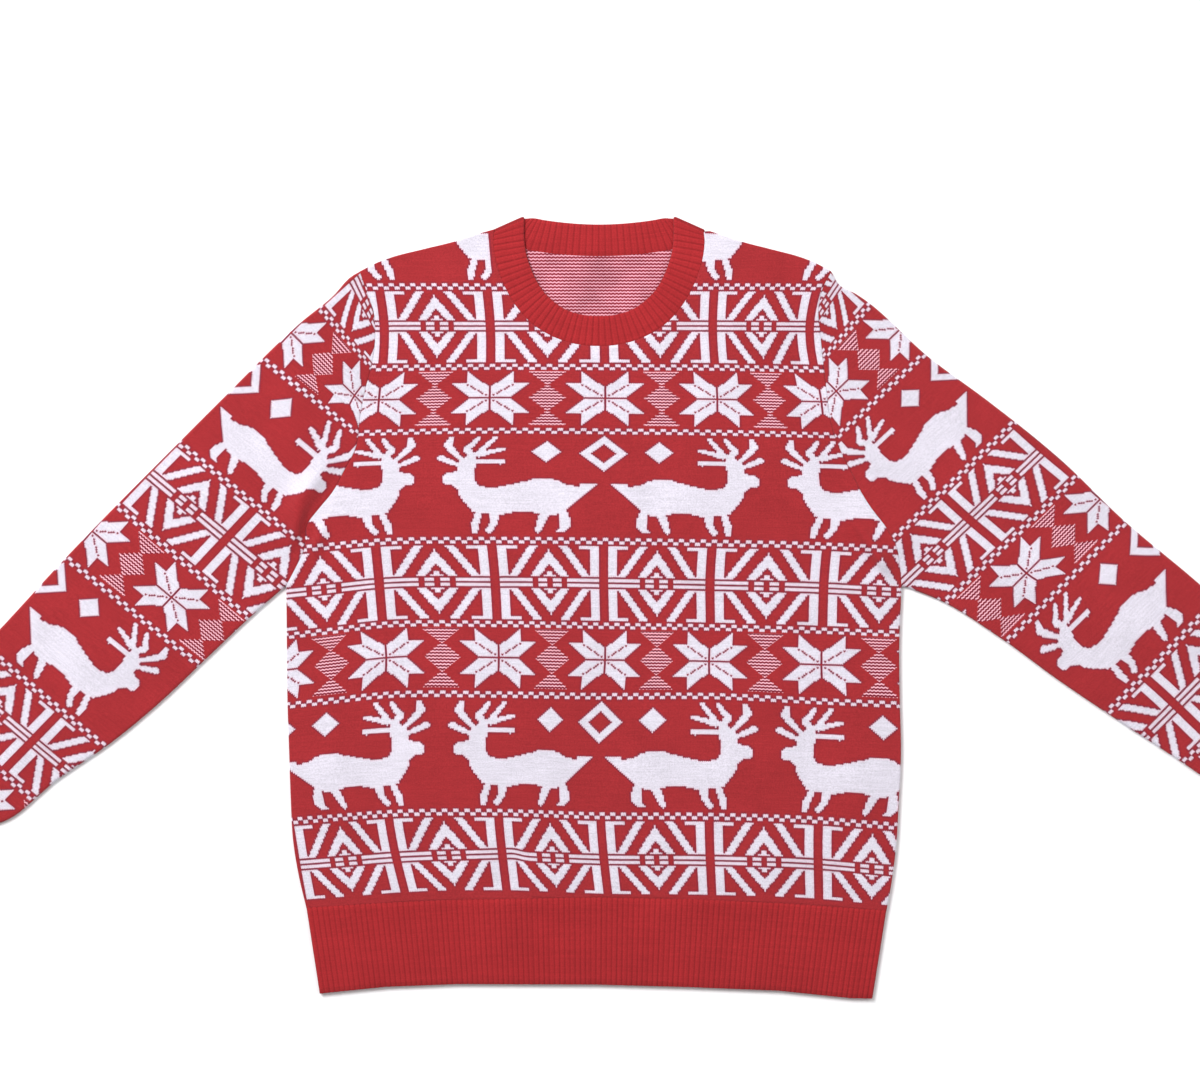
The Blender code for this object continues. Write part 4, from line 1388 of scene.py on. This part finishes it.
def knit_front_hem(knitting):
    cut = hem_cut()
    top = RIB_WALL + RIB_HEIGHT * rib_profile(cut.stitches[:, 0])
    base = FRONT_Z + front_lift(cut.points)
    materials = [rib_material(knitting)]
    piece = panel("front_hem_ribbing", cut, base, top, 0.0, materials, PLAIN_SIDES, (3, 1))
    finish_piece(piece, "front_hem_rib")


def knit_back_hem(knitting):
    cut = hem_cut()
    bottom = RIB_HEIGHT * (1 - rib_profile(cut.stitches[:, 0]))
    base = np.zeros(len(cut.points))
    materials = [rib_material(knitting)]
    piece = panel("back_hem_ribbing", cut, base, RIB_WALL, bottom, materials, PLAIN_SIDES, (1, 3))
    finish_piece(piece, "back_hem_rib")


def cuff_cut(sleeve):
    """A cuff's ribbing in plan, from the sleeve's end to the hand."""
    turn = radians(sleeve.cuff_angle)
    upper, lower = np.array(sleeve.upper[-1]), np.array(sleeve.lower[-1])
    along = np.array((cos(turn), sin(turn)))
    across = lower - upper
    across /= np.linalg.norm(across)
    near_fold = np.array(INSETS["fold"]) / CUFF_WIDTH_AT_SEAM
    clear_of_fold = near_fold[-1] * 1.1
    share = np.linspace(0.0, 1.0, CUFF_RIBS * POINTS_PER_RIB + 1)
    share = share[(share > clear_of_fold) & (share < 1 - clear_of_fold)]
    share = np.unique(np.concatenate([share, [0.0, 1.0], near_fold, 1 - near_fold]))
    out = along_ribs(CUFF_LENGTH - GAP, CUFF_STEP)
    reach = (GAP + out * (CUFF_LENGTH - GAP))[:, None]
    width = CUFF_WIDTH_AT_SEAM + out * (CUFF_WIDTH_AT_HAND - CUFF_WIDTH_AT_SEAM)
    middle = (upper + lower) / 2 + reach[:, None] * along
    points = middle + (share - 0.5)[None, :, None] * width[:, None, None] * across
    rows = -reach / RIB_ROW
    to_fold = np.minimum(share, 1 - share) * CUFF_WIDTH_AT_SEAM
    to_end = (np.minimum(out, 1 - out) * CUFF_LENGTH)[:, None]
    if np.cross(points[0, 1] - points[0, 0], points[1, 0] - points[0, 0]) < 0:
        points, rows, to_end = points[::-1], rows[::-1], to_end[::-1]
    return grid_cut(points, share * CUFF_RIBS, rows, {"fold": to_fold, "end": to_end})


def knit_cuff(knitting, side):
    cut = cuff_cut(SLEEVES[side])
    from_fold = cut.near["fold"]
    relief = RIB_HEIGHT * (rib_profile(cut.stitches[:, 0]) - 1) * quarter_round(from_fold, 2 * MIDDLE_Z)
    lift = (RIB_HEIGHT - (WALL - RIB_WALL)) * quarter_round(from_fold, 3 * MIDDLE_Z)
    materials = [rib_material(knitting)]
    piece = tube(f"cuff_{side}_ribbing", cut, lift, relief, materials, PLAIN_CHART, TUBE_COLUMNS)
    finish_piece(piece, f"cuff_{side}")


# Round the neckband's wall: share of its width from the seam to the free edge, and of its thickness
BAND_SECTION = (
    (0.000, 0.50),
    (0.010, 0.80),
    (0.035, 0.97),
    (0.080, 1.00),
    (0.240, 1.00),
    (0.400, 1.00),
    (0.560, 1.00),
    (0.720, 1.00),
    (0.880, 1.00),
    (0.950, 0.97),
    (0.985, 0.80),
    (1.000, 0.50),
    (0.985, 0.20),
    (0.950, 0.03),
    (0.800, 0.00),
    (0.500, 0.00),
    (0.200, 0.00),
    (0.035, 0.03),
    (0.010, 0.20),
)
BAND_CROWN = 0.0005  # how far the doubled band swells between its two edges


def band_columns():
    """The neckband's columns of points: the front half, the right fold, the back half and the left fold.

    Each has its row of the neck, the way out at a fold, how far it faces up and out there, and its
    place in ribs.
    """
    front, back = front_neck(), back_neck()
    flat = np.zeros(2)
    turns = np.linspace(90, -90, FOLD_POINTS)
    columns = [(row, flat, 90.0, index / POINTS_PER_RIB) for index, row in enumerate(front[1:-1], 1)]
    columns += [(front[-1], out_of_fold(front[-1], 1), turn, FRONT_NECK_RIBS) for turn in turns]
    for index, row in enumerate(back[-2:0:-1], 1):
        columns.append((row, flat, -90.0, FRONT_NECK_RIBS + index / POINTS_PER_RIB))
    last = FRONT_NECK_RIBS + BACK_NECK_RIBS
    columns += [(front[0], out_of_fold(front[0], -1), turn, last) for turn in turns[::-1]]
    rows, outs, angles, ribs = (np.array(column, float) for column in zip(*columns))
    return rows, outs, np.sin(np.radians(angles)), np.cos(np.radians(angles)), ribs


def knit_neckband(knitting):
    """One ring of ribbing, folded flat at both shoulders."""
    rows, outs, up, sideways, ribs = band_columns()
    free, sewn = rows[:, :2], rows[:, 2:]
    is_front, is_back = np.isclose(up, 1.0), np.isclose(up, -1.0)
    crest = rib_profile(ribs)
    lifts = np.where(is_front, front_lift((free + sewn) / 2), 0.0)
    seams = sewn - (free - sewn) / NECKBAND_WIDTH * LAP
    share_front = (up + 1) / 2
    points, stitches = [], []
    for width_share, depth in BAND_SECTION:
        crown = BAND_CROWN * 4 * width_share * (1 - width_share)
        outside = MIDDLE_Z + share_front * (FRONT_Z + RIB_WALL - 2 * MIDDLE_Z)
        outside = outside + np.where(is_front, NECK_RIB_HEIGHT * crest + crown, 0.0)
        inside = (MIDDLE_Z - RIB_WALL) * (1 - share_front) + GAP / 2 * share_front
        inner_rib = np.where(is_back, INNER_RIB_HEIGHT * crest, 0.0)
        radius = inside - inner_rib * (1 - depth) + depth * (outside - inside)
        base = seams + width_share * (free - seams)
        spot = base + outs * (sideways * radius)[:, None]
        points.append(np.column_stack([spot, MIDDLE_Z + up * radius + lifts]))
        row = width_share * NECKBAND_WIDTH / RIB_ROW
        stitches.append(np.column_stack([ribs, np.full(len(ribs), row), 0 * ribs]))
    piece = ring_mesh("neckband_ribbing", np.array(points), np.array(stitches), rib_material(knitting))
    finish_piece(piece, "neckband")


def ring_mesh(name, points, stitches, material):
    """A mesh whose grid of points closes on itself both ways."""
    mesh = bpy.data.meshes.new(name)
    places = points.reshape(-1, 3) + place_shift()
    mesh.from_pydata(places.tolist(), [], grid_faces(points.shape[:2], closed=True))
    mesh.materials.append(material)
    set_vectors(mesh, "stitch", "POINT", stitches.reshape(-1, 3))
    shape = bmesh.new()
    shape.from_mesh(mesh)
    bmesh.ops.recalc_face_normals(shape, faces=shape.faces)
    shape.to_mesh(mesh)
    shape.free()
    mesh.shade_smooth()
    return link_object(name, mesh)


# Stage

FLOOR_Z = -0.0002  # a hair under the sweater
FLOOR_ROUGHNESS = 0.85
KEY_PLACE = (-1.6, 1.7, 2.7)
KEY_SIZE = 1.6
FILL_PLACE = (1.7, 0.8, 2.2)
FILL_SIZE = 2.0

# What the camera sees: the middle of its view and the view's width on the table
VIEW_MIDDLE = (-0.0109, 0.0659)
VIEW_WIDTH = 1.080
CAMERA_HEIGHT = 3.0
SENSOR_WIDTH = 36.0


def make_floor(stage):
    mesh = bpy.data.meshes.new("sweater_floor")
    shape = bmesh.new()
    bmesh.ops.create_grid(shape, x_segments=1, y_segments=1, size=stage.floor_size / 2)
    shape.to_mesh(mesh)
    shape.free()
    floor = link_object("sweater_floor", mesh)
    floor.location.z = FLOOR_Z
    material = bpy.data.materials.new("pale_floor")
    material.use_nodes = True
    shader = material.node_tree.nodes["Principled BSDF"]
    shader.inputs["Base Color"].default_value = (*stage.floor_colour, 1.0)
    shader.inputs["Roughness"].default_value = FLOOR_ROUGHNESS
    mesh.materials.append(material)


def make_softbox(name, place, size, power):
    """A square light that looks at the middle of the table."""
    light = bpy.data.lights.new(name, "AREA")
    light.shape = "SQUARE"
    light.size = size
    light.energy = power
    lamp = link_object(name, light)
    lamp.location = place
    lamp.rotation_euler = (-Vector(place)).to_track_quat("-Z", "Y").to_euler()


def make_camera():
    camera = bpy.data.cameras.new("sweater_camera")
    camera.sensor_width = SENSOR_WIDTH
    camera.lens = SENSOR_WIDTH * CAMERA_HEIGHT / VIEW_WIDTH
    holder = link_object("sweater_camera", camera)
    holder.location = (*VIEW_MIDDLE, CAMERA_HEIGHT)
    bpy.context.scene.camera = holder


def light_room(stage):
    world = bpy.data.worlds.new("pale_room")
    world.use_nodes = True
    background = world.node_tree.nodes["Background"]
    background.inputs["Color"].default_value = (1.0, 1.0, 1.0, 1.0)
    background.inputs["Strength"].default_value = stage.room_light
    bpy.context.scene.world = world
    bpy.context.scene.view_settings.view_transform = "Standard"


# Settings, operators and panel


def colour_setting(**settings):
    return FloatVectorProperty(subtype="COLOR", min=0.0, max=1.0, **settings)


class SweaterKnitting(bpy.types.PropertyGroup):
    """The yarns of the sweater."""

    red_yarn: colour_setting(
        name="Red Yarn",
        description="Colour of the red yarn of the patterned knitting",
        default=(0.400, 0.028, 0.034),
    )
    white_yarn: colour_setting(
        name="White Yarn",
        description="Colour of the white yarn of the patterned knitting",
        default=(0.790, 0.745, 0.845),
    )
    twill_red: colour_setting(
        name="Twill Red",
        description="Colour of the red yarn where the two yarns take turns",
        default=(0.235, 0.014, 0.030),
    )
    twill_white: colour_setting(
        name="Twill White",
        description="Colour of the white yarn where the two yarns take turns",
        default=(0.960, 0.500, 0.590),
    )
    red_inside: colour_setting(
        name="Red Inside",
        description="Colour of the red yarn on the inside of the knitting",
        default=(0.270, 0.024, 0.040),
    )
    white_inside: colour_setting(
        name="White Inside",
        description="Colour of the white yarn on the inside of the knitting",
        default=(0.880, 0.400, 0.490),
    )
    rib_yarn: colour_setting(
        name="Rib Yarn",
        description="Colour of the neckband, the hem and the cuffs",
        default=(0.360, 0.021, 0.025),
    )
    stitch_relief: FloatProperty(
        name="Stitch Relief",
        description="How far a stitch stands over the grooves beside it",
        subtype="DISTANCE",
        unit="LENGTH",
        min=0.0,
        max=0.002,
        default=0.0004,
    )


class SweaterStage(bpy.types.PropertyGroup):
    """The table, the lights and the room."""

    floor_size: FloatProperty(
        name="Floor Size",
        description="Length of each side of the floor",
        subtype="DISTANCE",
        unit="LENGTH",
        min=2.0,
        default=12.0,
    )
    floor_colour: colour_setting(
        name="Floor Colour",
        description="Colour of the plain floor",
        default=(0.94, 0.94, 0.95),
    )
    key_power: FloatProperty(
        name="Key Light",
        description="Power of the large softbox above the left shoulder",
        subtype="POWER",
        unit="POWER",
        min=0.0,
        default=134.0,
    )
    fill_power: FloatProperty(
        name="Fill Light",
        description="Power of the softbox above the right shoulder",
        subtype="POWER",
        unit="POWER",
        min=0.0,
        default=26.0,
    )
    room_light: FloatProperty(
        name="Room Light",
        description="Strength of the even light from all round",
        min=0.0,
        default=0.36,
    )


class SWEATER_OT_back_panel(bpy.types.Operator):
    """Knit the back panel, which lies on the table"""

    bl_idname = "sweater.back_panel"
    bl_label = "Back Panel"

    def execute(self, context):
        knit_back_panel(context.scene.sweater_knitting)
        return {"FINISHED"}


class SWEATER_OT_front_panel(bpy.types.Operator):
    """Knit the front panel over the back one"""

    bl_idname = "sweater.front_panel"
    bl_label = "Front Panel"

    def execute(self, context):
        knit_front_panel(context.scene.sweater_knitting)
        return {"FINISHED"}


class SWEATER_OT_sleeves(bpy.types.Operator):
    """Knit the two sleeves, each a tube folded flat"""

    bl_idname = "sweater.sleeves"
    bl_label = "Sleeves"

    def execute(self, context):
        for side in SLEEVES:
            knit_sleeve(context.scene.sweater_knitting, side)
        return {"FINISHED"}


class SWEATER_OT_hems(bpy.types.Operator):
    """Knit the ribbed hems of the front and the back"""

    bl_idname = "sweater.hems"
    bl_label = "Hems"

    def execute(self, context):
        knit_back_hem(context.scene.sweater_knitting)
        knit_front_hem(context.scene.sweater_knitting)
        return {"FINISHED"}


class SWEATER_OT_cuffs(bpy.types.Operator):
    """Knit the two ribbed cuffs"""

    bl_idname = "sweater.cuffs"
    bl_label = "Cuffs"

    def execute(self, context):
        for side in SLEEVES:
            knit_cuff(context.scene.sweater_knitting, side)
        return {"FINISHED"}


class SWEATER_OT_neckband(bpy.types.Operator):
    """Knit the ribbed band round the neck"""

    bl_idname = "sweater.neckband"
    bl_label = "Neckband"

    def execute(self, context):
        knit_neckband(context.scene.sweater_knitting)
        return {"FINISHED"}


class SWEATER_OT_stage(bpy.types.Operator):
    """Set up the floor, the lights and the camera straight above"""

    bl_idname = "sweater.stage"
    bl_label = "Stage"

    def execute(self, context):
        stage = context.scene.sweater_stage
        make_floor(stage)
        light_room(stage)
        make_softbox("key_softbox", KEY_PLACE, KEY_SIZE, stage.key_power)
        make_softbox("fill_softbox", FILL_PLACE, FILL_SIZE, stage.fill_power)
        make_camera()
        return {"FINISHED"}


class SWEATER_PT_make(bpy.types.Panel):
    """Makes the sweater piece by piece"""

    bl_idname = "SWEATER_PT_make"
    bl_label = "Christmas Sweater"
    bl_space_type = "VIEW_3D"
    bl_region_type = "UI"
    bl_category = "Sweater"

    def draw(self, context):
        layout = self.layout
        for group in (context.scene.sweater_knitting, context.scene.sweater_stage):
            for setting in group.bl_rna.properties.keys()[2:]:
                layout.prop(group, setting)
        for operator in OPERATORS:
            layout.operator(operator.bl_idname)


OPERATORS = (
    SWEATER_OT_stage,
    SWEATER_OT_back_panel,
    SWEATER_OT_front_panel,
    SWEATER_OT_sleeves,
    SWEATER_OT_hems,
    SWEATER_OT_cuffs,
    SWEATER_OT_neckband,
)
CLASSES = (SweaterKnitting, SweaterStage, *OPERATORS, SWEATER_PT_make)


def register():
    for made in CLASSES:
        bpy.utils.register_class(made)
    bpy.types.Scene.sweater_knitting = PointerProperty(type=SweaterKnitting)
    bpy.types.Scene.sweater_stage = PointerProperty(type=SweaterStage)


def unregister():
    del bpy.types.Scene.sweater_stage
    del bpy.types.Scene.sweater_knitting
    for made in reversed(CLASSES):
        bpy.utils.unregister_class(made)


def main():
    register()
    for operator in OPERATORS:
        group, name = operator.bl_idname.split(".")
        getattr(getattr(bpy.ops, group), name)()


if __name__ == "__main__":
    main()
